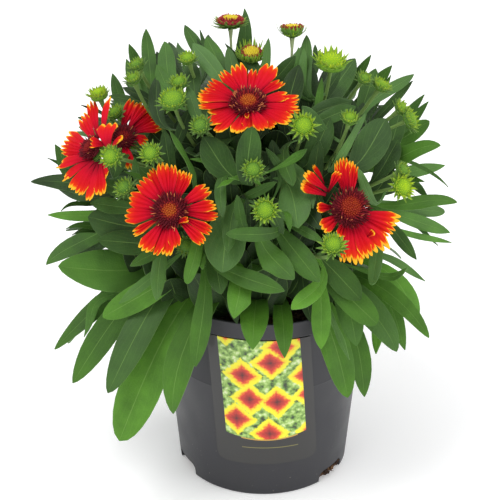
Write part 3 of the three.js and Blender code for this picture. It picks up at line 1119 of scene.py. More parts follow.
@dataclass
class Soil:
    """The potting mix: an uneven filling with loose crumbs on top and root crumbs at a drain slot."""

    pot: Pot
    top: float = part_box("potting_soil")[1].z / MM
    dome_rise: float = 2.0
    lump: float = 0.9
    crumb_count: int = 420
    crumb_sizes: tuple[float, float] = (1.0, 2.6)
    slot_crumbs: int = 46
    slot_crumb_sizes: tuple[float, float] = (0.8, 1.7)
    slot_spread: float = 9.5
    rootlets: int = 14
    rootlet_radius: float = 0.22
    open_slots: tuple[float, ...] = (-66.0, 174.0)
    seed: int = 11

    def build(self) -> None:
        """Models the filling, then its crumbs and rootlets."""
        pot = self.pot
        bottom = pot.floor + GAP
        inner = pot.wall + GAP
        rings = np.linspace(1, 0.06, 15)
        edge_radius = float(pot.radius(self.top - self.dome_rise)) - inner
        surface = [(edge_radius * ring, self.top - self.dome_rise * ring**2) for ring in rings]
        outline = [(float(pot.radius(bottom)) - inner, bottom), *surface]
        filling = turned("potting_soil_fill", outline, 72)
        pot.cut_slots(filling, self.open_slots)
        rng = np.random.default_rng(self.seed)
        for vertex in filling.data.vertices:
            if vertex.co.z > (self.top - self.dome_rise - 0.5) * MM:
                vertex.co.z -= float(rng.uniform(0, self.lump)) * MM
        hand_over(filling, Slot.SOIL, "potting_soil")
        hand_over(self.crumbs(), Slot.SOIL)

    def crumbs(self) -> bpy.types.Object:
        """Models one angular crumb and one rootlet and scatters copies on top and at the right slot.

        Returns:
            All of them as one piece.
        """
        rng = np.random.default_rng(self.seed + 1)
        ball = Blank.lifted(fresh(bpy.ops.mesh.primitive_ico_sphere_add, subdivisions=1, radius=1))
        batch = Batch("potting_soil_crumbs")
        surface = float(self.pot.radius(self.top)) - self.pot.wall - 3
        for _ in range(self.crumb_count):
            reach = surface * math.sqrt(rng.uniform(0.09, 1))
            middle = place(rng.uniform(0, 360), reach, self.top - self.dome_rise * (reach / surface) ** 2)
            self.scatter(batch, ball, middle, rng, self.crumb_sizes)
        bearing = self.pot.slot_bearings[1]
        for _ in range(self.slot_crumbs):
            turn = bearing + rng.uniform(-self.slot_spread, self.slot_spread)
            height = rng.uniform(3.2, 7.0)
            middle = place(turn, float(self.pot.radius(height)) - rng.uniform(0.2, 2.6), height)
            self.scatter(batch, ball, middle, rng, self.slot_crumb_sizes)
        thread = tube_blank(4, np.linspace(0, 1, 5))
        for _ in range(self.rootlets):
            turn = bearing + rng.uniform(-9, 9)
            start = place(turn, self.pot.base_radius - 1.5, rng.uniform(3.4, 7.2))
            end = start + aim(turn + rng.uniform(-60, 60), rng.uniform(-15, 40)) * rng.uniform(2.5, 5.5)
            sway = rng.uniform(-1.2, 1.2, (2, 3))
            third = (end - start) / 3
            course = Course(start, start + third + sway[0], end - third + sway[1], end)
            radius = np.full(len(thread.points), self.rootlet_radius)
            batch.add(thread, sweep(thread, course, radius), 0.8)
        return batch.build(20)

    @staticmethod
    def scatter(
        batch: Batch, ball: Blank, middle: Vec, rng: np.random.Generator, sizes: tuple[float, float]
    ) -> None:
        """Adds one crumb of random size and shape, half sunk where it lies.

        Args:
            batch: the batch that it is added to.
            ball: the blank that it is made from.
            middle: where it lies, in mm.
            rng: where its size and shape come from.
            sizes: the least and the most that its half size may be, in mm.
        """
        size = rng.uniform(*sizes) * rng.uniform(0.6, 1.0, 3)
        rough = ball.points * (1 + rng.uniform(-0.22, 0.22, (len(ball.points), 1)))
        batch.add(ball, middle + rough * size, float(rng.uniform(0, 1)))


@dataclass
class Crown:
    """The woody crown at the soil's surface, ridged by the bases of old stems."""

    radius: float = 24.0
    ridge: float = 1.1
    ridges: int = 17
    segments: int = 102

    PROFILE: ClassVar[tuple[tuple[float, float], ...]] = (
        (1.0, 0.0), (1.02, 0.25), (1.0, 0.5), (0.93, 0.75), (0.8, 0.9), (0.6, 0.97), (0.3, 1.0),
    )

    def build(self) -> None:
        """Models the low mound and draws its ridges."""
        low, high = (corner.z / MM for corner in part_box("crown"))
        rise = high - low
        outline = [(self.radius * reach, low + rise * share) for reach, share in self.PROFILE]
        mound = turned("crown_mound", outline, self.segments)
        for vertex in mound.data.vertices:
            turn = math.atan2(vertex.co.y, vertex.co.x)
            wave = 0.5 + 0.5 * math.cos(turn * self.ridges + 1.5 * math.sin(turn * 3))
            squeeze = 1 - self.ridge / self.radius * wave
            vertex.co.x *= squeeze
            vertex.co.y *= squeeze
        hand_over(mound, Slot.CROWN, "crown")


@dataclass
class LabelCard:
    """The printed card on the pot's front: wrapped round the wall, its two lower corners rounded."""

    pot: Pot
    width: float = 77.5
    bottom: float = 30.0
    top: float = 143.5
    thickness: float = 0.6
    corner: float = 8.0
    bearing: float = -0.1
    lean: float = 6.5

    def build(self) -> None:
        """Models the card flat from a grid, then wraps it onto the wall."""
        height = self.top - self.bottom
        corner_rows = [self.corner * (1 - math.cos(math.radians(turn))) for turn in range(0, 91, 10)]
        rows = corner_rows + list(np.linspace(self.corner, height, 19))[1:]
        blank = slab_blank(np.linspace(-1, 1, 33), np.array(rows) / height)
        side, up, face = blank.points[:, 0], blank.points[:, 1] * height, blank.points[:, 2]
        inset = self.corner - np.sqrt(self.corner**2 - np.clip(self.corner - up, 0, None) ** 2)
        across = side * (self.width / 2 - inset)
        radius = self.pot.radius(self.bottom + up) + GAP + face * self.thickness
        wall = self.pot.radius(self.bottom + up)
        turn = np.radians(self.bearing + self.lean * (0.5 - up / height)) + across / wall
        points = np.column_stack((np.sin(turn) * radius, -np.cos(turn) * radius, self.bottom + up))
        batch = Batch("label_card_print")
        batch.add(blank, points)
        batch.pattern = [np.column_stack((across, up)) / 100]
        hand_over(batch.build(), Slot.CARD, "label_card")


# ---------------------------------------------------------------- stems and heads


def sweep(blank: Blank, course: Course, radius: Vec) -> Vec:
    """Bends a tube blank along a course.

    Args:
        blank: the tube blank.
        course: the way of its middle line.
        radius: its radius at each vertex, in mm.

    Returns:
        Where the tube's vertices lie.
    """
    share = blank.points[:, 2]
    heading = course.heading(share)
    level = np.cross(course.end - course.start, UP)
    if np.linalg.norm(level) < 1e-6:
        level = np.array((1.0, 0.0, 0.0))
    side = unit(level - heading * (heading @ level)[:, None])
    other = np.cross(heading, side)
    ring = blank.points[:, 0:1] * side + blank.points[:, 1:2] * other
    return course.at(share) + ring * radius[:, None]


@dataclass(frozen=True)
class Head:
    """Where a stem ends and how the head on it faces."""

    name: str
    bearing: float
    reach: float
    height: float
    tilt: float
    facing: float
    root: tuple[float, float] | None = None

    ROOT_SPREAD: ClassVar[float] = 0.15
    UPRIGHT: ClassVar[float] = 0.42
    FOLLOW: ClassVar[float] = 0.34
    CROWN_TOP: ClassVar[float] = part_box("crown")[1].z / MM

    @property
    def end(self) -> Vec:
        """The point where the stem ends."""
        return place(self.bearing, self.reach, self.height)

    @property
    def axis(self) -> Vec:
        """The direction that the head faces."""
        return aim(self.facing, 90 - self.tilt)

    @property
    def course(self) -> Course:
        """The stem's way: upright out of the crown, and along the head's axis at the end.

        Returns:
            The curve from the crown to the head.
        """
        end = self.end
        root = end * self.ROOT_SPREAD if self.root is None else np.array((*self.root, 0.0))
        root = np.array((root[0], root[1], self.CROWN_TOP + GAP))
        length = float(np.linalg.norm(end - root))
        return Course(root, root + UP * length * self.UPRIGHT, end - self.axis * length * self.FOLLOW, end)

    def seated(self, points: Vec) -> Vec:
        """Takes points from the head's own space, z along its axis, to where the head is.

        Args:
            points: one point for each row, in mm.

        Returns:
            Where they are on the plant.
        """
        cross = np.cross(UP, self.axis)
        tangle = np.array(((0, -cross[2], cross[1]), (cross[2], 0, -cross[0]), (-cross[1], cross[0], 0)))
        turn = np.eye(3) + tangle + tangle @ tangle / (1 + self.axis[2])
        return points @ turn.T + self.end


class Blanks:
    """The shapes that repeat, each modelled once."""

    def __init__(self) -> None:
        """Models every blank."""
        rows = (0, 0.07, 0.16, 0.26, 0.36, 0.46, 0.55, 0.64, 0.72, 0.79, 0.85, 0.9, 0.945, 0.98, 1.0)
        self.leaf = slab_blank((-1, -0.62, -0.22, 0, 0.22, 0.62, 1), rows)
        self.ray = slab_blank(np.linspace(-1, 1, 19), (0, 0.14, 0.3, 0.46, 0.62, 0.76, 0.87, 0.95, 1.0))
        self.bract = slab_blank((-1, 0, 1), (0, 0.35, 0.7, 1.0))
        self.stem = tube_blank(10, np.linspace(0, 1, 25))
        self.bristle = self.modelled_bristle()
        cone = {"vertices": 5, "radius1": 1, "radius2": 0, "depth": 1, "location": (0, 0, 0.5)}
        self.spike = Blank.lifted(fresh(bpy.ops.mesh.primitive_cone_add, **cone))
        self.dome = self.modelled_dome()

    @staticmethod
    def modelled_bristle() -> Blank:
        """Models a floret: a short six-sided tube with a narrowed, closed tip.

        Returns:
            The floret, 1.35 units high.
        """
        piece = fresh(bpy.ops.mesh.primitive_cylinder_add, vertices=6, radius=1, depth=1)
        with editing(piece) as mesh:
            for face in mesh.faces:
                face.select_set(face.normal.z > 0.9)
            bpy.ops.mesh.extrude_region_move(TRANSFORM_OT_translate={"value": (0, 0, 0.35)})
            bpy.ops.transform.resize(value=(0.45, 0.45, 1))
        blank = Blank.lifted(piece)
        blank.points[:, 2] += 0.5
        return blank

    @staticmethod
    def modelled_dome() -> Blank:
        """Models a closed half ball from a sphere cut level at its middle.

        Returns:
            The half ball, with a radius of one unit.
        """
        piece = fresh(bpy.ops.mesh.primitive_uv_sphere_add, segments=24, ring_count=12, radius=1)
        with editing(piece):
            bpy.ops.mesh.select_all(action="SELECT")
            cut = {"plane_co": (0, 0, -0.05), "plane_no": (0, 0, 1)}
            bpy.ops.mesh.bisect(use_fill=True, clear_inner=True, **cut)
        return Blank.lifted(piece)


@dataclass(frozen=True)
class BractWhorl:
    """A ring of pointed bracts round a head."""

    count: int
    base: float
    base_height: float
    length: float
    width: float
    rise: float
    curl: float
    tone: float

    def add(self, batch: Batch, blank: Blank, head: Head, rng: np.random.Generator) -> None:
        """Adds the whorl's bracts to a batch.

        Args:
            batch: the piece that they belong to.
            blank: the bract blank.
            head: the head that they sit on.
            rng: the source of their small differences.
        """
        side, share, face = blank.points.T
        first = rng.uniform(0, 360)
        for number in range(self.count):
            turn = first + 360 * number / self.count + rng.uniform(-5, 5)
            length = self.length * rng.uniform(0.85, 1.12)
            rise = math.radians(self.rise + rng.uniform(-8, 8)) + math.radians(self.curl) * share
            reach = self.base + length * share * np.cos(rise)
            lift = self.base_height + length * share * np.sin(rise)
            width = self.width * (1 - share) ** 0.75 / 2 + 0.08
            across = side * width
            up = face * 0.45 * (1 - 0.6 * share) + np.abs(across) * 0.35
            spread = np.radians(turn)
            local = np.column_stack((
                np.cos(spread) * (reach - up * np.sin(rise)) - np.sin(spread) * across,
                np.sin(spread) * (reach - up * np.sin(rise)) + np.cos(spread) * across,
                lift + up * np.cos(rise),
            ))
            batch.add(blank, head.seated(local), self.tone + 0.12 * share, 0.02 + 0.16 * side**2)


@dataclass
class Stem:
    """A flower stem: a slim hairy tube that swells a little under its head."""

    head: Head
    radius: float = 1.45
    neck: float = 1.25
    swell: float = 2.1
    hairs: float = 0.08

    def add(self, batch: Batch, blanks: Blanks) -> None:
        """Adds the stem's tube to a batch.

        Args:
            batch: the batch that it is added to.
            blanks: the shapes that repeat.
        """
        share = blanks.stem.points[:, 2]
        radius = self.radius + (self.neck - self.radius) * share
        radius = radius + (self.swell - self.neck) * smooth_step(share, 0.965, 1.0)
        batch.add(blanks.stem, sweep(blanks.stem, self.head.course, radius), 0.08, self.hairs)


def golden_turn(number: int) -> float:
    """Gives the turn in radians of one in a row of evenly spread growths."""
    return number * math.pi * (3 - math.sqrt(5))


def phyllotaxis(count: int, radius: float) -> Iterator[tuple[float, float]]:
    """Gives the turn in radians and the distance of each of many evenly packed florets."""
    for number in range(count):
        yield golden_turn(number), radius * math.sqrt((number + 0.5) / count)


def away(turn: float) -> Vec:
    """Gives the direction in a head's own space that leads from its axis at a turn in radians."""
    return np.array((math.cos(turn), math.sin(turn), 0.0))


def stand(blank: Blank, foot: Vec, way: Vec, width: float, length: float) -> Vec:
    """Stands a small upright blank on a point.

    Args:
        blank: the blank, its foot at z 0.
        foot: where it stands.
        way: the unit direction that it points in.
        width: its half width, in mm.
        length: its length, in mm.

    Returns:
        Where its vertices lie.
    """
    helper = np.array((1.0, 0.0, 0.0)) if abs(way[0]) < 0.8 else np.array((0.0, 1.0, 0.0))
    side = unit(np.cross(helper, way))
    other = np.cross(way, side)
    x, y, z = blank.points.T
    return foot + np.outer(x * width, side) + np.outer(y * width, other) + np.outer(z * length, way)


@dataclass(frozen=True)
class BudLook:
    """How one bud differs from the rest: size, breadth of its globe, how far its bracts close, brightness.

    Closed is in degrees; shift is added to every tone of the head.
    """

    size: float = 1.0
    breadth: float = 1.0
    closed: float = 0.0
    shift: float = 0.0


@dataclass
class Bud:
    """A closed head: a bright green globe of small points in a star of short hairy bracts."""

    head: Head
    look: BudLook = BudLook()
    dome_radius: float = 6.4
    dome_height: float = 4.8
    base_height: float = 2.2
    points: int = 84
    point_radius: float = 0.72
    seed: int = 0

    WHORLS: ClassVar[tuple[BractWhorl, ...]] = (
        BractWhorl(13, 1.8, -0.2, 9.8, 3.7, 0, 12, 0.36),
        BractWhorl(14, 2.8, 0.6, 8.4, 3.4, 16, 16, 0.47),
        BractWhorl(14, 4.2, 1.6, 6.4, 2.9, 34, 18, 0.58),
        BractWhorl(13, 5.2, 2.6, 4.2, 2.2, 52, 20, 0.68),
    )
    CLOSING: ClassVar[tuple[float, ...]] = (1.0, 1.0, 0.7, 0.4)

    def whorls(self) -> tuple[BractWhorl, ...]:
        """Lists the bud's rings of bracts, from the outermost in.

        Returns:
            The rings, in mm.
        """
        size, wide, up, shift = self.look.size, self.look.breadth, self.look.closed, self.look.shift
        return tuple(
            BractWhorl(
                whorl.count, whorl.base * size * wide, whorl.base_height, whorl.length * size,
                whorl.width * size, whorl.rise + up * share, whorl.curl, whorl.tone + shift,
            )
            for whorl, share in zip(self.WHORLS, self.CLOSING)
        )

    def build(self, blanks: Blanks, *nodes: str) -> None:
        """Models the stem and the bud as one piece.

        Args:
            blanks: the shapes that repeat.
            *nodes: the CAD node that it stands for, if there is one.
        """
        rng = np.random.default_rng(self.seed)
        batch = Batch(f"{self.head.name}_fine")
        Stem(self.head).add(batch, blanks)
        self.add_head(batch, blanks, rng)
        hand_over(batch.build(), Slot.BUD, *nodes)

    def add_head(self, batch: Batch, blanks: Blanks, rng: np.random.Generator) -> None:
        """Adds the bud's globe, its points and its bracts.

        Args:
            batch: the batch that it is added to.
            blanks: the shapes that repeat.
            rng: where the small differences come from.
        """
        size = self.look.size
        radius, height = self.dome_radius * size * self.look.breadth, self.dome_height * size
        globe = blanks.dome.points * (radius, radius, height) + UP * self.base_height
        from_axis = blanks.dome.from_axis
        # The globe shows only between the points, and its darker tone is painted shade in those gaps.
        batch.add(blanks.dome, self.head.seated(globe), 0.56 - 0.2 * from_axis**2 + self.look.shift)
        cup = blanks.dome.points * (radius * 1.02, radius * 1.02, -self.base_height * 1.25)
        batch.add(blanks.dome.mirrored, self.head.seated(cup + UP * self.base_height), 0.4)
        for turn, reach in phyllotaxis(self.points, 0.97):
            fall = math.sqrt(max(0.0, 1 - reach**2))
            out = away(turn) * reach
            way = unit(out + UP * (fall + 0.25))
            foot = out * radius + UP * (self.base_height + fall * height)
            length = (1.5 + 1.7 * reach**2) * rng.uniform(0.85, 1.2)
            local = stand(blanks.spike, foot - way * 0.4, way, self.point_radius * size, length * size)
            # Each point is darker at its foot than at its tip: painted shade down among the points.
            tone = 0.78 - 0.26 * reach**2 + 0.2 * blanks.spike.points[:, 2] + rng.uniform(-0.1, 0.1)
            tone = tone + self.look.shift
            batch.add(blanks.spike, self.head.seated(local), tone, 0.06 * blanks.spike.points[:, 2])
        for whorl in self.whorls():
            whorl.add(batch, blanks.bract, self.head, rng)


@dataclass
class OpeningHead:
    """A head about to open: bracts round a cup, a ring of young dark rays, and a raised yellow top.

    Radii and heights are in mm on the head's own axis; the ring falls from the top's edge outwards.
    """

    head: Head
    top_radius: float = 5.0
    top_height: float = 8.3
    ring_radius: float = 9.6
    ring_height: float = 5.0
    cup_radius: float = 8.0
    bracts: tuple[BractWhorl, ...] = ()
    top_tone: float = 0.08
    ring_tone: float = 0.68
    top_florets: int = 56
    ring_florets: int = 120
    seed: int = 0

    TOP_FLORET_RADIUS: ClassVar[float] = 0.46
    RING_FLORET_RADIUS: ClassVar[float] = 0.44

    def build(self, blanks: Blanks) -> None:
        """Models the stem with its cup and bracts, then the young florets.

        Args:
            blanks: the shapes that repeat.
        """
        rng = np.random.default_rng(self.seed)
        node = self.head.name
        batch = Batch(f"{node}_stem_fine")
        Stem(self.head, radius=1.1, neck=0.95, swell=1.9, hairs=0.66).add(batch, blanks)
        depth = self.ring_height
        bowl = blanks.dome.points * (self.cup_radius, self.cup_radius, -depth) + UP * depth
        batch.add(blanks.dome.mirrored, self.head.seated(bowl), 0.42)
        for whorl in self.bracts:
            whorl.add(batch, blanks.bract, self.head, rng)
        hand_over(batch.build(), Slot.STEM, f"{node}_stem")
        hand_over(self.florets(blanks, rng), Slot.OPENING_DISC, f"{node}_disc")

    def florets(self, blanks: Blanks, rng: np.random.Generator) -> bpy.types.Object:
        """Models the yellow top and the ring of young rays that falls away round it.

        Args:
            blanks: the shapes that repeat.
            rng: where the small differences come from.

        Returns:
            The florets as one piece.
        """
        batch = Batch(f"{self.head.name}_florets")
        drop = self.top_height - self.ring_height
        body = blanks.dome.points * (self.ring_radius, self.ring_radius, drop) + UP * (self.ring_height - 0.6)
        across = blanks.dome.from_axis * self.ring_radius
        batch.add(blanks.dome, self.head.seated(body), self.tone_at(across))
        for turn, reach in phyllotaxis(self.top_florets, self.top_radius):
            out = away(turn)
            foot = out * reach + UP * (self.top_height - 0.9 - 0.5 * (reach / self.top_radius) ** 2)
            way = unit(out * 0.35 * reach / self.top_radius + UP)
            local = stand(blanks.bristle, foot, way, self.TOP_FLORET_RADIUS, rng.uniform(0.9, 1.3))
            batch.add(blanks.bristle, self.head.seated(local), self.top_tone + rng.uniform(0, 0.12))
        for number in range(self.ring_florets):
            turn = golden_turn(number)
            share = (number + 0.5) / self.ring_florets
            reach = math.sqrt(self.top_radius**2 + share * (self.ring_radius**2 - self.top_radius**2))
            slope = (reach - self.top_radius) / (self.ring_radius - self.top_radius)
            out = away(turn)
            foot = out * reach + UP * (self.top_height - 1.2 - drop * slope**1.4)
            way = unit(out * rng.uniform(0.5, 1.1) + UP)
            local = stand(blanks.bristle, foot, way, self.RING_FLORET_RADIUS, rng.uniform(1.3, 2.1))
            tone = self.ring_tone + 0.12 * blanks.bristle.points[:, 2] ** 4 + rng.uniform(-0.06, 0.06)
            batch.add(blanks.bristle, self.head.seated(local), tone)
        return batch.build()

    def tone_at(self, reach: Vec) -> Vec:
        """Gives the florets' tone at a distance from the middle."""
        outer = smooth_step(reach, self.top_radius * 0.8, self.top_radius * 1.15)
        return self.top_tone + (self.ring_tone + 0.08 - self.top_tone) * outer


# ---------------------------------------------------------------- open flowers


@dataclass(frozen=True)
class Ray:
    """One ray of an open flower, placed by the pixel where its tip shows.

    Width is in pixels. Base is where it springs from if not the disc's edge; lift is how far its tip
    stands above the head's plane and arch how far its middle does, in mm. Roll and roll_tip curl its
    edges up by that many degrees in all, or down if negative, and twist turns it along its length.
    Notch is how deep the cuts between its lobes are, and skew how much longer its one side is, both as
    shares of its length.
    """

    tip: Pixel
    width: float
    base: Pixel | None = None
    lift: float = 0.0
    arch: float = 2.2
    roll: float = -30.0
    roll_tip: float = 40.0
    twist: float = 0.0
    notch: float = 0.15
    skew: float = 0.0


@dataclass(frozen=True)
class DiscLook:
    """How a flower's disc looks: its sizes in mm and the tone at its middle."""

    radius: float = 11.8
    dome: float = 5.0
    core: float = 6.0
    core_tone: float = 0.08
    rim_tone: float = 0.8
    bristle: float = 3.2
    bristle_radius: float = 0.46
    bead: float = 1.5
    bead_radius: float = 0.6
    stigma_radius: float = 0.27
    foot: float = 1.2
    florets: int = 210
    stigmas: int = 16


@dataclass
class Flower:
    """An open flower: stem and calyx, a ring of lobed rays, and a bristly disc."""

    head: Head
    rays: tuple[Ray, ...]
    disc: DiscLook = field(default_factory=DiscLook)
    ray_root: float = 6.0
    seat: float = 0.4
    cup_radius: float = 8.2
    cup_depth: float = 4.4
    cup_drop: float = 0.3
    pixels_per_mm: float = 1.42
    overlap: float = 1.2
    variety: float = 1.25
    flute: float = 0.8
    gold: float = 0.4
    seed: int = 0

    THICKNESS: ClassVar[float] = 0.45
    LAYERS: ClassVar[tuple[float, ...]] = (0.0, 1.5, 0.7)
    STEPS: ClassVar[dict[str, float]] = {
        "arch": 1.0, "roll": 22.0, "roll_tip": 26.0, "twist": 9.0, "lift": 0.8, "skew": 0.03,
    }
    CALYX: ClassVar[tuple[BractWhorl, ...]] = (
        BractWhorl(13, 3.0, -4.0, 9.5, 3.2, 8, -14, 0.36),
        BractWhorl(13, 4.0, -2.8, 8.5, 3.0, 16, -10, 0.44),
    )

    def build(self, blanks: Blanks) -> None:
        """Models the flower's three pieces.

        Args:
            blanks: the shapes that repeat.
        """
        rng = np.random.default_rng(self.seed)
        node = self.head.name
        batch = Batch(f"{node}_stem_fine")
        Stem(self.head, swell=3.0).add(batch, blanks)
        cup = blanks.dome.points * (self.cup_radius, self.cup_radius, -self.cup_depth)
        cup = cup - UP * self.cup_drop
        batch.add(blanks.dome.mirrored, self.head.seated(cup), 0.4)
        for whorl in self.CALYX:
            whorl.add(batch, blanks.bract, self.head, rng)
        hand_over(batch.build(), Slot.STEM, f"{node}_stem")
        hand_over(self.ray_ring(blanks, rng), Slot.RAYS, f"{node}_rays")
        hand_over(self.disc_florets(blanks, rng), Slot.DISC, f"{node}_disc")

    def ray_ring(self, blanks: Blanks, rng: np.random.Generator) -> bpy.types.Object:
        """Bends one ray blank into each of the flower's rays.

        Args:
            blanks: the shapes that repeat.
            rng: where the small differences come from.

        Returns:
            The rays as one piece.
        """
        batch = Batch(f"{self.head.name}_petals")
        for number, ray in enumerate(self.rays):
            varied = self.varied(ray, rng) if self.variety else ray
            points, under = self.bent_ray(blanks.ray, varied, self.LAYERS[number % len(self.LAYERS)])
            batch.add(blanks.ray, points, self.gold + float(rng.uniform(-0.35, 0.35)), under)
        return batch.build(60)

    def varied(self, ray: Ray, rng: np.random.Generator) -> Ray:
        """Gives a ray with small differences of its own in bend, curl and outline.

        Args:
            ray: the ray as it is planned.
            rng: where the small differences come from.

        Returns:
            The ray as it is built.
        """
        steps = zip(self.STEPS.items(), rng.normal(0, self.variety, len(self.STEPS)))
        changed = {name: getattr(ray, name) + size * step for (name, size), step in steps}
        return replace(ray, **changed, notch=ray.notch * rng.uniform(0.6, 1.35))

    def bent_ray(self, blank: Blank, ray: Ray, layer: float) -> tuple[Vec, Vec]:
        """Bends the ray blank to one ray.

        Args:
            blank: the ray blank.
            ray: the ray's place and shape.
            layer: how far above the head's plane it starts, in mm.

        Returns:
            Where its vertices lie, and how much each belongs to the lower face.
        """
        axis, centre = self.head.axis, self.head.end
        tip = VIEW.on_plane(ray.tip, centre + axis * (ray.lift + layer * 0.5), axis)
        spoke = tip - centre
        spoke = unit(spoke - axis * np.dot(spoke, axis))
        plane = centre + axis * (self.seat + layer)
        base = centre + spoke * self.ray_root + axis * (self.seat + layer)
        if ray.base is not None:
            base = VIEW.on_plane(ray.base, plane, axis)
        length = float(np.linalg.norm(tip - base))
        run = unit(tip - base)
        leave = base + run * length * 0.35 + axis * ray.arch * 1.2
        course = Course(base, leave, tip - run * length * 0.3 + axis * ray.arch, tip)
        u, v, w = blank.points.T
        lobes = np.abs(np.cos(1.5 * np.pi * u)) ** 0.55
        cut = ray.notch * (1 - lobes) + 0.07 * u**2 + ray.skew * u
        share = v * (1 - cut * smooth_step(v, 0.62, 1.0))
        heading = course.heading(share)
        level = np.cross(run, axis)
        side = unit(level - heading * (heading @ level)[:, None])
        face = np.cross(side, heading)
        width = ray.width / self.pixels_per_mm * self.overlap
        spread = width * (0.28 + 0.72 * smooth_step(v, 0.0, 0.85)) * (1 - 0.1 * smooth_step(v, 0.9, 1.0))
        curl = np.radians(ray.roll + (ray.roll_tip - ray.roll) * v)
        curl = np.where(np.abs(curl) < 0.05, 0.05, curl)
        bend = u * curl / 2
        across = spread / curl * np.sin(bend)
        lift = spread / curl * (1 - np.cos(bend)) + self.flute * np.cos(3 * np.pi * u) * np.sin(2.2 * v)
        thick = self.THICKNESS * w
        across = across - thick * np.sin(bend)
        lift = lift + thick * np.cos(bend)
        twist = np.radians(ray.twist) * v
        turned_side = side * np.cos(twist)[:, None] + face * np.sin(twist)[:, None]
        turned_face = face * np.cos(twist)[:, None] - side * np.sin(twist)[:, None]
        points = course.at(share) + turned_side * across[:, None] + turned_face * lift[:, None]
        return points, 1 - w

    def disc_florets(self, blanks: Blanks, rng: np.random.Generator) -> bpy.types.Object:
        """Models the disc's dome and packs its florets and stigmas on it.

        Args:
            blanks: the shapes that repeat.
            rng: where the small differences come from.

        Returns:
            The disc as one piece.
        """
        look = self.disc
        batch = Batch(f"{self.head.name}_florets")
        dome = blanks.dome.points * (look.radius * 0.9, look.radius * 0.9, look.dome) + UP * look.foot
        spread = blanks.dome.from_axis * look.radius * 0.9
        batch.add(blanks.dome, self.head.seated(dome), self.ring_tone(spread))
        for turn, reach in phyllotaxis(look.florets, look.radius * 0.92):
            share = reach / look.radius
            height = look.foot + look.dome * math.sqrt(max(0.0, 1 - (share / 0.95) ** 2)) - 0.5
            out = away(turn)
            way = unit(out * (1.5 * share**1.5) + UP + rng.uniform(-0.12, 0.12, 3))
            inner = reach < look.core
            long = look.bead if inner else look.bristle * rng.uniform(0.7, 1.15)
            thick = look.bead_radius if inner else look.bristle_radius
            local = stand(blanks.bristle, out * reach + UP * height, way, thick, long)
            tone = float(self.ring_tone(reach)) + rng.uniform(-0.06, 0.06)
            batch.add(blanks.bristle, self.head.seated(local), tone)
        for number in range(look.stigmas):
            turn = number * 2.4 + rng.uniform(-0.3, 0.3)
            reach = look.radius * rng.uniform(0.7, 0.98)
            share = reach / look.radius
            height = look.foot + look.dome * math.sqrt(1 - share**2) + look.bristle * 0.5
            out = away(turn)
            way = unit(out * rng.uniform(0.2, 0.9) + UP * 0.8 + rng.uniform(-0.4, 0.4, 3))
            foot = out * reach + UP * height
            local = stand(blanks.bristle, foot, way, look.stigma_radius, rng.uniform(1.8, 3.4))
            batch.add(blanks.bristle, self.head.seated(local), 0.5, 1.0)
        return batch.build()

    def ring_tone(self, reach: Vec | float) -> Vec:
        """Gives the disc's tone at a distance from its middle.

        Args:
            reach: one distance or many, in mm.

        Returns:
            One tone for each distance.
        """
        look = self.disc
        outer = smooth_step(reach, look.core * 0.75, look.core * 1.35)
        return look.core_tone + (look.rim_tone - look.core_tone) * outer


# ---------------------------------------------------------------- leaves


@dataclass(frozen=True)
class Blade:
    """One leaf blade: its way from stem to tip, and how wide, folded and turned it is.

    Tone runs from 0, dark, to 1, fresh: an old leaf is dark, and a leaf deep in the mound is given a dark
    tone as painted shade. Its felt_and_sheen is how much paler grey its upper face is, partly its grey felt
    and partly a painted sheen. Level is a way straight across it, if not the level one; lean turns its face
    outwards from there, in degrees. Peak above 1.6 puts its widest place further out, and blunt below 1
    rounds its tip. Wave is the height of its edges' ripples in mm; teeth are places of small side lobes.
    """

    course: Course
    width: float
    tone: float = 0.5
    felt_and_sheen: float = 0.0
    level: Vec | None = None
    lean: float = 0.0
    fold: float = 0.16
    peak: float = 1.7
    blunt: float = 0.62
    wave: float = 0.8
    phase: float = 0.0
    curl: float = 0.12
    teeth: tuple[tuple[float, float, float], ...] = ()

    PETIOLE: ClassVar[float] = 3.0
    TIP: ClassVar[float] = 0.7
    THICKNESS: ClassVar[float] = 0.55

    def add(self, batch: Batch, blank: Blank) -> None:
        """Bends the leaf blank to this blade and adds it to a batch.

        Args:
            batch: the batch that it is added to.
            blank: the leaf blank.
        """
        u, v, w = blank.points.T
        way = self.course
        heading = way.heading(v)
        level = self.level
        if level is None:
            level = np.cross(unit((way.end - way.start) * (1, 1, 0) + 1e-9), UP)
        side = unit(level - heading * (heading @ level)[:, None])
        face = np.cross(side, heading)
        lean = np.radians(self.lean * smooth_step(v, 0.1, 0.5))[:, None]
        side, face = side * np.cos(lean) - face * np.sin(lean), face * np.cos(lean) + side * np.sin(lean)
        least = np.where(v > 0.9, self.TIP, self.PETIOLE * (1 - 0.25 * v) * min(1, self.width / 12))
        outline = np.clip(np.sin(np.pi * v**self.peak), 0, 1) ** self.blunt
        width = np.maximum(least, self.width * outline)
        for share, hand, size in self.teeth:
            bump = np.clip(1 - np.abs(v - share) / 0.09, 0, 1)
            width = width + 2 * size * bump * (u * hand > 0)
        across = u * width / 2
        off = np.abs(across)
        lift = self.fold * (np.sqrt(off**2 + 1.2) - 1.1) - self.curl * off * u**4
        ripple = np.sin(2 * np.pi * (2.6 * v + self.phase) + 1.3 * np.sign(u)) * self.wave
        lift = lift + ripple * u**2 * smooth_step(v, 0.15, 0.5) * outline
        rib = 0.7 * np.exp(-((u / 0.2) ** 2)) * (1 - 0.8 * v) * (1 - w)
        lift = lift + w * self.THICKNESS - rib
        points = way.at(v) + side * across[:, None] + face * lift[:, None]
        # The upper face takes some of the pale grey of the lower face: partly its grey felt, partly a painted
        # sheen.
        batch.add(blank, points, self.tone, np.maximum(1 - w, self.felt_and_sheen))


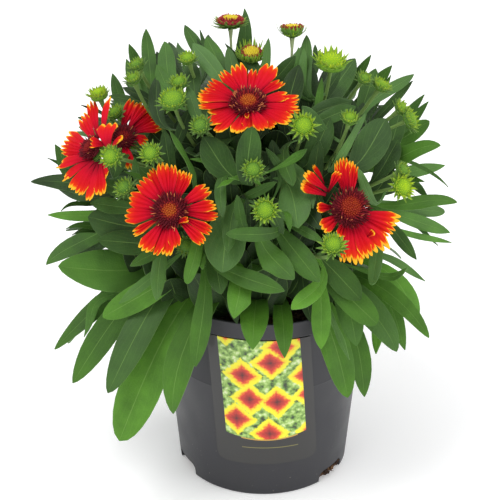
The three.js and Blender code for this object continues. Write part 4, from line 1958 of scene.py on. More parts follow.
@dataclass(frozen=True)
class NodeLeaf:
    """A leaf that stands for a CAD node, by where it grows and where its tip is.

    Bow is how far its middle swings to the right, or left if negative, in mm.
    """

    name: str
    bearing: float
    reach: float
    height: float
    droop: float
    width: float
    crown: float | None = None
    rise: float = 50.0
    stem: str = ""
    at: float = 0.5
    spring: float = 0.42
    tone: float = 0.5
    felt_and_sheen: float = 0.0
    lean: float = 0.0
    peak: float = 1.6
    blunt: float = 0.62
    bow: float = 0.0

    RUN: ClassVar[float] = 0.36
    CROWN_RADIUS: ClassVar[float] = 24.0
    SEAT_HEIGHT: ClassVar[float] = 149.3

    def blade(self, heads: dict[str, Head]) -> Blade:
        """Gives the blade, from the crown's side or off its stem.

        Args:
            heads: every head on the plant, by name.

        Returns:
            The blade.
        """
        if self.crown is not None:
            way = aim(self.crown, self.rise)
            clear = self.CROWN_RADIUS + GAP + 0.5 * math.sin(math.radians(self.rise))
            start = place(self.crown, clear, self.SEAT_HEIGHT)
        else:
            stem = heads[self.stem].course
            along = stem.heading(self.at)
            way = outward(self.bearing)
            way = unit(way - along * np.dot(way, along))
            start = stem.at(self.at) + way * 1.7
        tip = place(self.bearing, self.reach, self.height)
        length = float(np.linalg.norm(tip - start))
        aside = outward(self.bearing + 90) * self.bow
        arrive = tip - aim(self.bearing, -self.droop) * length * self.RUN + aside
        course = Course(start, start + way * length * self.spring + aside, arrive, tip)
        return Blade(
            course, self.width, self.tone, self.felt_and_sheen, None, self.lean, peak=self.peak, blunt=self.blunt
        )


@dataclass(frozen=True)
class SeenLeaf:
    """A leaf placed by the pixels of its tip and of the start of its broad part, its face to the camera.

    Width is in pixels. Depth is how far out in the mound its tip lies, 1 at the mound's surface, and
    inner how far out its root does. Droop is how much more its tip points down than the leaf does, and
    lean turns its face from the camera, in degrees.
    """

    tip: Pixel
    root: Pixel
    width: float
    tone: float = 0.5
    depth: float = 0.95
    inner: float = 0.8
    felt_and_sheen: float = 0.0
    droop: float = 0.0
    lean: float = 0.0
    blunt: float = 0.76
    peak: float = 1.7
    teeth: tuple[tuple[float, float, float], ...] = ()


class Carriers:
    """The points that a leaf can grow from: all along the stems, and round the crown."""

    CROWN_RADIUS: ClassVar[float] = 23.0
    CROWN_HEIGHT: ClassVar[float] = 150.5

    def __init__(self, heads: Sequence[Head]) -> None:
        """Samples every stem between its foot and its neck, and the crown's side.

        Args:
            heads: the heads on their stems.
        """
        shares = np.linspace(0.04, 0.88, 22)
        rows = [head.course.at(shares) for head in heads]
        turns = range(0, 360, 12)
        rows.append(np.array([place(turn, self.CROWN_RADIUS, self.CROWN_HEIGHT) for turn in turns]))
        self.points = np.vstack(rows)

    def nearest(self, wanted: Vec, tip: Vec, least: float, most: float) -> Vec:
        """Finds where a leaf grows from.

        Args:
            wanted: the point that it should grow near.
            tip: the leaf's tip.
            least: the least distance to the tip, in mm.
            most: the most.

        Returns:
            The point on the plant.
        """
        cost = np.linalg.norm(self.points - wanted, axis=1)
        span = np.linalg.norm(self.points - tip, axis=1)
        cost = cost + 3 * np.clip(least - span, 0, None) + 3 * np.clip(span - most, 0, None)
        cost = cost + 0.6 * np.clip(self.points[:, 2] - wanted[2], 0, None)
        return self.points[int(cost.argmin())]


@dataclass(frozen=True)
class Room:
    """The space that leaves leave free round a head, in mm on its axis and in pixels in the frame."""

    radius: float
    below: float
    above: float
    pixels: float


@dataclass
class Foliage:
    """All the leaves: those of the CAD nodes, those placed by pixels, and the rest of the mound."""

    heads: dict[str, Head]
    blanks: Blanks
    node_leaves: tuple[NodeLeaf, ...]
    seen_leaves: tuple[SeenLeaf, ...]
    flowers: tuple[str, ...]
    middle: tuple[float, float, float] = (-12.0, 0.0, 205.0)
    half_sizes: tuple[float, float, float] = (150.0, 140.0, 150.0)
    bare: tuple[Pixel, ...] = ((449.0, 277.0), (437.0, 270.0), (395.0, 255.0), (412.0, 150.0))
    bare_pixels: float = 7.0
    mound_tips: int = 430
    mound_top: float = 0.97
    mound_foot: float = -0.45
    skirt_tips: int = 26
    skirt_gap: float = 66.0
    skirt_radius: float = 24.6
    skirt_height: float = 149.3
    heart_tips: int = 96
    heart_pixels: float = 132.0
    heart_floor: float = 318.0
    seed: int = 5
    sectors: int = 8
    shown: list[Vec] = field(default_factory=list)

    SECTOR_NAMES: ClassVar[tuple[str, ...]] = (
        "front", "front_right", "right", "back_right", "back", "back_left", "left", "front_left",
    )
    UPPER: ClassVar[float] = 240.0
    OUTERMOST: ClassVar[float] = 1.03
    FLOWER_ROOM: ClassVar[Room] = Room(36.0, -9.0, 90.0, 44.0)
    BUD_ROOM: ClassVar[Room] = Room(13.0, -6.0, 60.0, 15.0)
    POT_FRONT: ClassVar[tuple[float, float, float]] = (172.0, 352.0, 318.0)

    def build(self) -> None:
        """Models every leaf: one piece for each CAD leaf, and the rest joined by sector and level."""
        for leaf in self.node_leaves:
            blade = leaf.blade(self.heads)
            batch = Batch(f"{leaf.name}_blade")
            blade.add(batch, self.blanks.leaf)
            hand_over(batch.build(), Slot.LEAF, leaf.name)
            self.keep_in_view(blade)
        carriers = Carriers(list(self.heads.values()))
        blades = [self.seen_blade(leaf, carriers) for leaf in self.seen_leaves]
        for blade in blades:
            self.keep_in_view(blade)
        blades += self.heart(carriers)
        blades += self.mound(carriers)
        blades += self.skirt()
        groups: dict[str, Batch] = {}
        for blade in blades:
            tip = blade.course.end
            sector = round(bearing_of(tip) / (360 / self.sectors)) % self.sectors
            level = "upper" if tip[2] > self.UPPER else "lower"
            name = f"foliage_{level}_{self.SECTOR_NAMES[sector]}"
            blade.add(groups.setdefault(name, Batch(name)), self.blanks.leaf)
        LOG.info("%d leaves beside the %d on the frame", len(blades), len(self.node_leaves))
        for batch in groups.values():
            hand_over(batch.build(), Slot.LEAF)

    def in_mound(self, pixel: Pixel, depth: float) -> Vec:
        """Gives the point that a pixel shows at a depth of the mound."""
        return VIEW.on_dome(pixel, np.array(self.middle), np.array(self.half_sizes) * depth)

    def seen_blade(self, leaf: SeenLeaf, carriers: Carriers) -> Blade:
        """Turns a leaf placed by pixels into a blade that grows from the nearest stem.

        Args:
            leaf: the leaf's plan.
            carriers: the points that leaves can grow from.

        Returns:
            The blade, bent so that it passes through the start of its broad part.
        """
        tip, root = self.in_mound(leaf.tip, leaf.depth), self.in_mound(leaf.root, leaf.inner)
        start = carriers.nearest(root, tip, 40, 140)
        length = float(np.linalg.norm(tip - start))
        droop = UP * math.tan(math.radians(leaf.droop))
        arrive = tip - unit(unit(tip - root) - droop) * length * 0.3
        bare = float(np.linalg.norm(root - start))
        t = float(np.clip(bare / (bare + np.linalg.norm(tip - root)), 0.15, 0.5))
        s = 1 - t
        leave = (root - s**3 * start - 3 * s * t * t * arrive - t**3 * tip) / (3 * s * s * t)
        sight = VIEW.sight(leaf.tip)
        level = np.cross(sight, unit(tip - root))
        spot = VIEW.pixel(tip)[0]
        width = leaf.width * spot[2] / VIEW.focal_pixels
        phase = (leaf.tip[0] * 0.37 + leaf.tip[1] * 0.11) % 1
        return Blade(
            Course(start, leave, arrive, tip), width, leaf.tone, leaf.felt_and_sheen, unit(level), leaf.lean,
            peak=leaf.peak, blunt=leaf.blunt, phase=phase, teeth=leaf.teeth,
        )

    def keep_in_view(self, blade: Blade) -> None:
        """Notes where a blade shows to the camera, so that the mound's leaves don't hide it.

        Args:
            blade: the blade.
        """
        share = np.linspace(0.4, 0.97, 9)
        seen = VIEW.pixel(blade.course.at(share))
        half = blade.width * 0.5 * VIEW.focal_pixels / VIEW.distance * np.sin(np.pi * share**1.7) ** 0.6
        self.shown.append(np.column_stack((seen, half)))

    def heart(self, carriers: Carriers) -> list[Blade]:
        """Fills the mound's heart with leaves of a very dark tone, painted shade deep among the stems, so
        that no floor shows between them.

        Args:
            carriers: what the leaves grow from.

        Returns:
            The blades.
        """
        rng = np.random.default_rng(self.seed + 2)
        across, down, _ = VIEW.pixel(np.array(self.middle))[0]
        blades = []
        for turn, reach in phyllotaxis(self.heart_tips, self.heart_pixels):
            tip = (across + reach * math.cos(turn), down + reach * math.sin(turn))
            root = (tip[0] * 0.7 + across * 0.3 + rng.uniform(-9, 9), tip[1] + rng.uniform(28, 46))
            if root[1] > self.heart_floor:
                continue
            # Their very dark tone is painted shade for the deep gaps in the mound.
            leaf = SeenLeaf(
                tip, root, rng.uniform(24, 34), rng.uniform(0, 0.14), 0.7, 0.55, lean=rng.uniform(-15, 15),
                blunt=0.5,
            )
            blades.append(self.seen_blade(leaf, carriers))
        return blades

    def mound(self, carriers: Carriers) -> list[Blade]:
        """Fills the mound evenly: tips on a dome, each leaf from the stem that suits it.

        Args:
            carriers: the points that leaves can grow from.

        Returns:
            The blades that keep clear of the heads and of the pot's front.
        """
        rng = np.random.default_rng(self.seed)
        fall = self.mound_top - self.mound_foot
        blades = []
        for number in range(self.mound_tips):
            lift = self.mound_top - fall * (number + 0.5) / self.mound_tips
            turn = golden_turn(number) + rng.uniform(-0.15, 0.15)
            level = math.sqrt(1 - lift**2)
            way = np.array((level * math.cos(turn), level * math.sin(turn), lift))
            depth = rng.uniform(0.62, 0.97)
            tip = np.array(self.middle) + way * np.array(self.half_sizes) * depth
            length = rng.uniform(60, 88)
            rise = rng.uniform(0.15, 0.5) - 0.35 * lift
            wanted = tip - unit(way * (1, 1, 0.2) + UP * rise) * length
            start = carriers.nearest(wanted, tip, 45, 110)
            out = unit(tip * (1, 1, 0) + 1e-9)
            span = float(np.linalg.norm(tip - start))
            leave = start + unit(out * 0.6 + UP * rng.uniform(0.5, 1.1)) * span * 0.4
            drop = rng.uniform(-0.2, 0.55) - 0.9 * max(0.0, lift)
            side_way = np.cross(UP, out) * rng.uniform(-0.8, 0.8)
            arrive = tip - unit(out + side_way - UP * drop) * span * 0.34
            course = Course(start, leave, arrive, tip)
            fresh_share = np.clip((250 - tip[2]) / 110, 0, 1)
            tone = float(np.clip(0.25 + 0.35 * fresh_share + rng.uniform(-0.2, 0.2), 0.02, 0.95))
            blade = Blade(
                course, rng.uniform(14, 23) * (0.75 + 0.25 * fresh_share), tone, rng.uniform(0, 0.4), None,
                rng.uniform(-25, 25), fold=rng.uniform(0.1, 0.26), peak=rng.uniform(1.5, 2.0),
                blunt=rng.uniform(0.55, 0.75) + 0.12 * (1 - fresh_share),
                wave=rng.uniform(0.3, 1.4), phase=rng.uniform(0, 1), curl=rng.uniform(0.05, 0.25),
            )
            if self.is_clear(blade):
                blades.append(blade)
        return blades

    def skirt(self) -> list[Blade]:
        """Hangs the long lower leaves over the rim, at the sides and the back.

        Returns:
            The blades.
        """
        rng = np.random.default_rng(self.seed + 1)
        arc = 360 - 2 * self.skirt_gap
        blades = []
        for number in range(self.skirt_tips):
            bearing = self.skirt_gap + arc * (number + rng.uniform(0.2, 0.8)) / self.skirt_tips
            rise = rng.uniform(45, 62)
            start = place(bearing + rng.uniform(-12, 12), self.skirt_radius, self.skirt_height)
            tip = place(bearing, rng.uniform(122, 156), rng.uniform(92, 165))
            length = float(np.linalg.norm(tip - start))
            leave = start + aim(bearing, rise) * length * rng.uniform(0.45, 0.6)
            arrive = tip - aim(bearing + rng.uniform(-20, 20), -rng.uniform(45, 70)) * length * 0.36
            tone = rng.uniform(0.45, 0.9)
            blades.append(Blade(
                Course(start, leave, arrive, tip), rng.uniform(20, 30), tone, rng.uniform(0, 0.3), None,
                rng.uniform(-14, 14), phase=rng.uniform(0, 1), wave=rng.uniform(0.6, 1.6),
            ))
        return [blade for blade in blades if self.is_clear(blade)]

    def is_clear(self, blade: Blade) -> bool:
        """Tells whether a blade leaves every head open to view and the pot's front bare.

        Args:
            blade: the blade.

        Returns:
            True if the blade may stay.
        """
        way = blade.course.at(np.linspace(0.25, 1, 16))
        seen = VIEW.pixel(way)
        for name, head in self.heads.items():
            room = self.FLOWER_ROOM if name in self.flowers else self.BUD_ROOM
            offset = way - head.end
            up = offset @ head.axis
            aside = np.linalg.norm(offset - up[:, None] * head.axis, axis=1)
            if np.any((aside < room.radius + blade.width * 0.3) & (up > room.below) & (up < room.above)):
                return False
            spot = VIEW.pixel(head.end + head.axis * 6)[0]
            gap = np.hypot(seen[:, 0] - spot[0], seen[:, 1] - spot[1])
            if np.any((gap < room.pixels + blade.width * 0.5) & (seen[:, 2] < spot[2] + 5)):
                return False
        shown = np.vstack(self.shown)
        offset = seen[:, None, :] - shown[None, :, :3]
        gap = np.hypot(offset[:, :, 0], offset[:, :, 1])
        hides = (gap < shown[None, :, 3] + blade.width * 0.4) & (offset[:, :, 2] < 2)
        if np.count_nonzero(hides.any(axis=1)) > 1:
            return False
        offset = seen[:, None, :2] - np.array(self.bare)
        if np.any(np.hypot(offset[:, :, 0], offset[:, :, 1]) < self.bare_pixels):
            return False
        left, right, top = self.POT_FRONT
        if np.any((seen[:, 1] > top) & (seen[:, 0] > left) & (seen[:, 0] < right) & (way[:, 1] < 0)):
            return False
        share = (way - np.array(self.middle)) / np.array(self.half_sizes)
        share = share * (1, 1, 1 if way[-1, 2] > self.middle[2] else 0.6)
        return bool(np.all(np.linalg.norm(share, axis=1) < self.OUTERMOST))


# ---------------------------------------------------------------- the plan of this plant


FLOWER_HEADS = (
    Head("flower_top", -9, 72, 326, 22, -2),
    Head("flower_left", -29, 130, 267, 48, -12),
    Head("flower_right", 28, 119, 264, 50, 14, (13, -13)),
    Head("flower_far_left", -63, 132, 287, 48, -62, (-19, -6)),
    Head("flower_behind_left", -69, 106, 284, 30, 10, (-16, 3)),
)
OPENING_HEADS = (
    OpeningHead(
        Head("opening_head_tall", -122, 28, 347, 8, 180), ring_radius=9.0, ring_tone=0.72, seed=40,
        bracts=(
            BractWhorl(15, 3.0, 0.6, 11.6, 3.0, -8, 24, 0.34),
            BractWhorl(15, 4.0, 1.6, 10.4, 3.0, 4, 20, 0.42),
            BractWhorl(14, 5.4, 2.8, 7.8, 2.6, 20, 14, 0.5),
        ),
    ),
    OpeningHead(
        Head("opening_head_right", 100, 20, 344, 15, 180), top_radius=4.4, ring_radius=7.4,
        top_height=9.2, ring_height=7.4, ring_florets=80, top_tone=0.02, ring_tone=0.56, seed=41,
        bracts=(
            BractWhorl(14, 3.0, 1.4, 11.4, 1.9, -4, 44, 0.34),
            BractWhorl(15, 3.6, 0.9, 9.0, 2.8, 30, 30, 0.48),
            BractWhorl(18, 6.0, 1.8, 7.4, 2.4, 62, 14, 0.62),
        ),
    ),
    OpeningHead(
        Head("opening_head_front", -37, 15, 334, 10, 0), top_radius=5.2, ring_radius=6.6,
        top_height=8.4, ring_height=6.2, ring_florets=34, top_tone=0.12, ring_tone=0.5, seed=42,
        bracts=(
            BractWhorl(16, 3.0, 0.4, 13.6, 2.4, 2, 40, 0.46),
            BractWhorl(16, 4.6, 1.2, 11.2, 2.5, 16, 42, 0.54),
            BractWhorl(16, 6.2, 2.4, 7.6, 2.3, 34, 40, 0.62),
        ),
    ),
)
NODE_BUDS = (
    Head("bud_top_far_left", -81, 89, 328, 25, -70),
    Head("bud_far_left", -80, 117, 308, 15, -75),
    Head("bud_upper_left", -47, 79, 333, 20, -30, (-9, -7)),
    Head("bud_top_left", -59, 61, 341, 20, -40, (-8, 0)),
    Head("bud_below_far_left", -48, 138, 298, 60, -25, (-20, -11)),
    Head("bud_left", -41, 117, 298, 50, -15, (-13, -13)),
    Head("bud_below_left", -28, 113, 234, 62, -5, (-6, -20)),
    Head("bud_upper_right", 17, 89, 317, 50, 0, (5, -11)),
    Head("bud_right", 39, 91, 314, 20, 25),
    Head("bud_top_right", 72, 84, 318, 30, 80),
    Head("bud_far_right", 71, 105, 297, 60, 75, (18, -5)),
    Head("bud_middle", -4, 111, 297, 50, -5, (-2, -16)),
    Head("bud_front", 0, 124, 274, 60, 0, (3, -19)),
    Head("bud_below_right", 18, 146, 254, 34, 5, (9, -19)),
    Head("bud_low_right", 50, 122, 268, 60, 30, (17, -11)),
)


def side_bud(
    name: str,
    spot: tuple[float, float, float],
    tilt: float,
    facing: float,
    root: tuple[float, float] | None = None,
) -> Head:
    """Plans a bud on a stem of its own, from the place of its stem's end."""
    bearing = bearing_of(np.array(spot))
    return Head(name, bearing, math.hypot(spot[0], spot[1]), spot[2], tilt, facing, root)


SIDE_BUDS = (
    side_bud("bud_second_far_left", (-90, -33, 326), 18, -60),
    side_bud("bud_between_flowers", (-104, -22, 296), 30, -60, (-18, 9)),
    side_bud("bud_second_upper_left", (-62, -68, 327), 26, -20),
    side_bud("bud_beside_top", (-42, -88, 318), 45, -30),
    side_bud("bud_behind_fans", (-94, -95, 275), 45, -40),
    side_bud("bud_top_middle_right", (46, -28, 336), 10, 20),
    side_bud("bud_second_top_right", (68, -30, 326), 35, 40),
    side_bud("bud_upper_far_right", (94, -30, 303), 45, 70),
    side_bud("bud_behind_right", (93, -71, 276), 50, 60),
)
BUD_LOOKS = {
    "bud_middle": BudLook(0.86, shift=-0.08),
    "bud_right": BudLook(0.84, 0.95, 26, -0.02),
    "bud_far_left": BudLook(1.02, 0.95, 30, 0.1),
    "bud_upper_left": BudLook(0.9, 0.95, 22, -0.06),
    "bud_top_left": BudLook(0.8, 1.0, 18),
    "bud_top_far_left": BudLook(0.85, 0.95, 18, -0.1),
    "bud_top_right": BudLook(0.9, 1.0, 15, -0.02),
    "bud_far_right": BudLook(0.98, 1.15, 12, -0.04),
    "bud_below_far_left": BudLook(0.86, 1.1),
    "bud_left": BudLook(0.88, shift=-0.02),
    "bud_upper_right": BudLook(1.04, shift=0.03),
    "bud_low_right": BudLook(1.02, shift=0.1),
    "bud_below_left": BudLook(0.85, shift=-0.14),
    "bud_second_far_left": BudLook(0.85, 0.9, 24, -0.08),
    "bud_between_flowers": BudLook(0.8, shift=-0.04),
    "bud_second_upper_left": BudLook(1.02, 1.3, 6, -0.02),
    "bud_beside_top": BudLook(0.9, 1.0, 10, -0.12),
    "bud_behind_fans": BudLook(0.85, shift=-0.12),
    "bud_top_middle_right": BudLook(1.36, 1.2, 22, 0.1),
    "bud_second_top_right": BudLook(0.75, 0.9, 20, -0.08),
    "bud_upper_far_right": BudLook(0.85, 1.0, 14, -0.02),
    "bud_behind_right": BudLook(0.78, 1.0, 16, -0.1),
}

FLOWER_TOP_RAYS = (
    Ray((236.5, 65), 14), Ray((220.8, 72.6), 10), Ray((208.8, 82), 11), Ray((200.7, 90.8), 11),
    Ray((197.7, 99.4), 11, roll=90, roll_tip=60), Ray((198.5, 106), 10), Ray((207.5, 112.5), 8),
    Ray((206.7, 124.4), 13), Ray((216.3, 133), 11), Ray((237, 134), 15), Ray((250, 129), 13),
    Ray((255.8, 70.7), 12, lift=-2), Ray((272.6, 65.8), 16), Ray((282.5, 82.6), 10, roll=70),
    Ray((288.4, 96.7), 12), Ray((299.2, 100), 12), Ray((299.7, 110.8), 11), Ray((291.6, 121.7), 13),
    Ray((274.3, 127.6), 11), Ray((263.4, 130.9), 13),
    Ray((247, 118.5), 6, base=(247, 111.5), lift=8, arch=2, roll=170, roll_tip=190),
)
FLOWER_LEFT_RAYS = (
    Ray((162.3, 162.9), 12), Ray((172, 165), 11), Ray((180, 170), 12), Ray((190, 173), 9),
    Ray((140, 181), 14), Ray((129.5, 198), 14), Ray((125, 216), 15),
    Ray((133.7, 234.9), 9, roll=80), Ray((142, 251), 13), Ray((154, 255), 12),
    Ray((167, 256), 12), Ray((176, 247), 11), Ray((209, 188), 13), Ray((216, 205), 11),
    Ray((218, 217), 9), Ray((212, 232), 10, roll=100, roll_tip=60), Ray((203.9, 243.7), 10),
    Ray((188, 221), 9, base=(177, 224), lift=6, arch=4, roll=200, roll_tip=200),
    Ray((150, 170), 10, lift=-2),
)
FLOWER_RIGHT_RAYS = (
    Ray((300.5, 183.5), 11, base=(326, 195), lift=2),
    Ray((304.5, 173), 10, base=(327, 191), lift=1), Ray((312.8, 166), 4, base=(324, 184)),
    Ray((338.5, 171.5), 8, base=(328, 192), lift=8, arch=3, roll=60),
    Ray((336.5, 161), 8), Ray((343, 157.5), 9), Ray((349.5, 161), 9), Ray((355, 165), 8),
    Ray((316.5, 208), 10, base=(333, 208), lift=5, arch=3, roll=70, roll_tip=90),
    Ray((321.5, 229), 13), Ray((340, 237.4), 9), Ray((344, 262.5), 10), Ray((355.5, 265), 16),
    Ray((368, 258.5), 13), Ray((384, 251), 18), Ray((392.5, 234), 12), Ray((399.4, 221.7), 14),
    Ray((374, 231), 6, base=(366, 238), lift=7, roll=120),
)
FLOWER_FAR_LEFT_RAYS = (
    Ray((91, 101.5), 11, base=(99, 138)), Ray((82.1, 116.3), 13, base=(97, 144)),
    Ray((67, 137), 15, base=(94, 150)), Ray((61.5, 150), 11, base=(92, 154)),
    Ray((110.7, 98.6), 11, base=(105, 138)), Ray((60, 167), 16, base=(92, 158)),
    Ray((64.5, 181), 15, base=(93, 160)), Ray((72, 190), 14, base=(94, 161)),
    Ray((79.5, 195.5), 13, base=(96, 162)), Ray((90.5, 201), 15, base=(98, 162)),
    Ray((101, 196), 12, base=(101, 162)), Ray((105, 180), 10, base=(103, 160)),
    Ray((92, 144), 13, base=(109, 147), lift=12, arch=3, roll=20),
    Ray((110, 124), 22, base=(112, 152), lift=9, arch=5, roll=60, roll_tip=30),
    Ray((123.5, 138), 8, base=(112, 151), lift=9, arch=3, roll=60),
)
FLOWER_BEHIND_LEFT_RAYS = (
    Ray((133.8, 101), 12, base=(121, 130)), Ray((145, 105), 12, base=(128, 130)),
    Ray((152, 111), 11, base=(131, 130)), Ray((158.5, 117), 9, base=(133, 131)),
    Ray((160.5, 126), 11, base=(135, 133)), Ray((146, 144), 11, base=(132, 137), roll=60),
    Ray((127.5, 169), 13, base=(125, 144), roll=70, roll_tip=30),
)
FLOWERS = (
    Flower(
        FLOWER_HEADS[0], FLOWER_TOP_RAYS, DiscLook(core=5.2, core_tone=0.2, stigmas=34), gold=0.35, seed=21,
    ),
    Flower(FLOWER_HEADS[1], FLOWER_LEFT_RAYS, DiscLook(core=4.8, core_tone=0.22), gold=0.3, seed=22),
    Flower(
        FLOWER_HEADS[2], FLOWER_RIGHT_RAYS,
        DiscLook(radius=12.6, dome=12.5, core=6.6, core_tone=0.36, bristle=3.8, florets=260, stigmas=16),
        gold=0.8, seed=23,
    ),
    Flower(
        FLOWER_HEADS[3], FLOWER_FAR_LEFT_RAYS,
        DiscLook(radius=7.5, core=3.4, core_tone=0.5, florets=130, stigmas=4), gold=0.5, seed=24,
    ),
    Flower(
        FLOWER_HEADS[4], FLOWER_BEHIND_LEFT_RAYS,
        DiscLook(radius=8.5, core=3.5, core_tone=0.5, florets=130, stigmas=4), gold=0.5, seed=25,
    ),
)

TOOTHED_LEFT = ((0.8, -1.0, 2.2),)
TOOTHED_RIGHT = ((0.62, 1.0, 2.4),)

NODE_LEAVES = (
    NodeLeaf(
        "leaf_hanging_left", -47, 143, 71, 60, 33, -40, 62, spring=0.62, tone=0.78, lean=-18, peak=2.6,
        blunt=0.56,
    ),
    NodeLeaf(
        "leaf_hanging_front_left", -30, 129, 104, 75, 24, -16, 62, spring=0.62, tone=0.62, peak=2.0,
        blunt=0.7, bow=-11,
    ),
    NodeLeaf(
        "leaf_slanting_left", -49, 148, 112, 58, 23, -62, 64, spring=0.68, tone=0.35, felt_and_sheen=0.3, lean=-25,
        peak=1.9, bow=3,
    ),
    NodeLeaf(
        "leaf_outer_left", -65, 154, 100, 55, 21, -78, 56, spring=0.55, tone=0.55, lean=-32, peak=2.3,
        blunt=0.7,
    ),
    NodeLeaf("leaf_far_left", -74, 160, 116, 45, 15, -94, 42, tone=0.55, lean=-35),
    NodeLeaf(
        "leaf_broad_left", -66, 160, 198, -20, 32, stem="flower_far_left", at=0.2, tone=0.8, felt_and_sheen=0.55,
        lean=-52,
    ),
    NodeLeaf("leaf_front_low", -4, 116, 160, 75, 20, -4, 50, tone=0.75, peak=2.1, blunt=0.8),
    NodeLeaf("leaf_front_right_low", 7, 116, 153, 78, 14, 14, 50, tone=0.7, peak=2.1, blunt=0.8),
    NodeLeaf("leaf_right_low", 30, 119, 112, 72, 23, 32, 62, spring=0.66, tone=0.7, lean=8, peak=1.9),
    NodeLeaf("leaf_slanting_right", 46, 131, 143, 60, 22, 50, 50, tone=0.5, felt_and_sheen=0.5, lean=28),
    NodeLeaf("leaf_outer_right", 54, 145, 151, 50, 14, 68, 46, tone=0.7, lean=34),
    NodeLeaf("leaf_far_right", 70, 145, 241, 8, 10, stem="bud_low_right", at=0.7, tone=0.7, lean=45),
    NodeLeaf("leaf_upper_right", 67, 133, 287, -5, 13, stem="bud_far_right", at=0.68, tone=0.62, lean=55),
    NodeLeaf("leaf_far_left_upper", -88, 169, 235, 5, 14, stem="bud_far_left", at=0.6, tone=0.2, lean=-30),
    NodeLeaf(
        "leaf_top_back", -162, 45, 350, -60, 12, stem="opening_head_tall", at=0.6, tone=0.25, felt_and_sheen=0.5,
        blunt=0.8,
    ),
    NodeLeaf("leaf_back_left", -132, 155, 110, 55, 28, -130, 46, tone=0.6),
    NodeLeaf("leaf_back", -165, 150, 130, 60, 30, -160, 48, tone=0.65),
    NodeLeaf("leaf_back_right", 148, 152, 115, 55, 28, 145, 48, tone=0.6),
    NodeLeaf("leaf_right_back", 126, 134, 124, 50, 22, 122, 52, tone=0.55),
    NodeLeaf("leaf_back_upper", 176, 145, 230, 15, 26, 180, 62, tone=0.45),
)

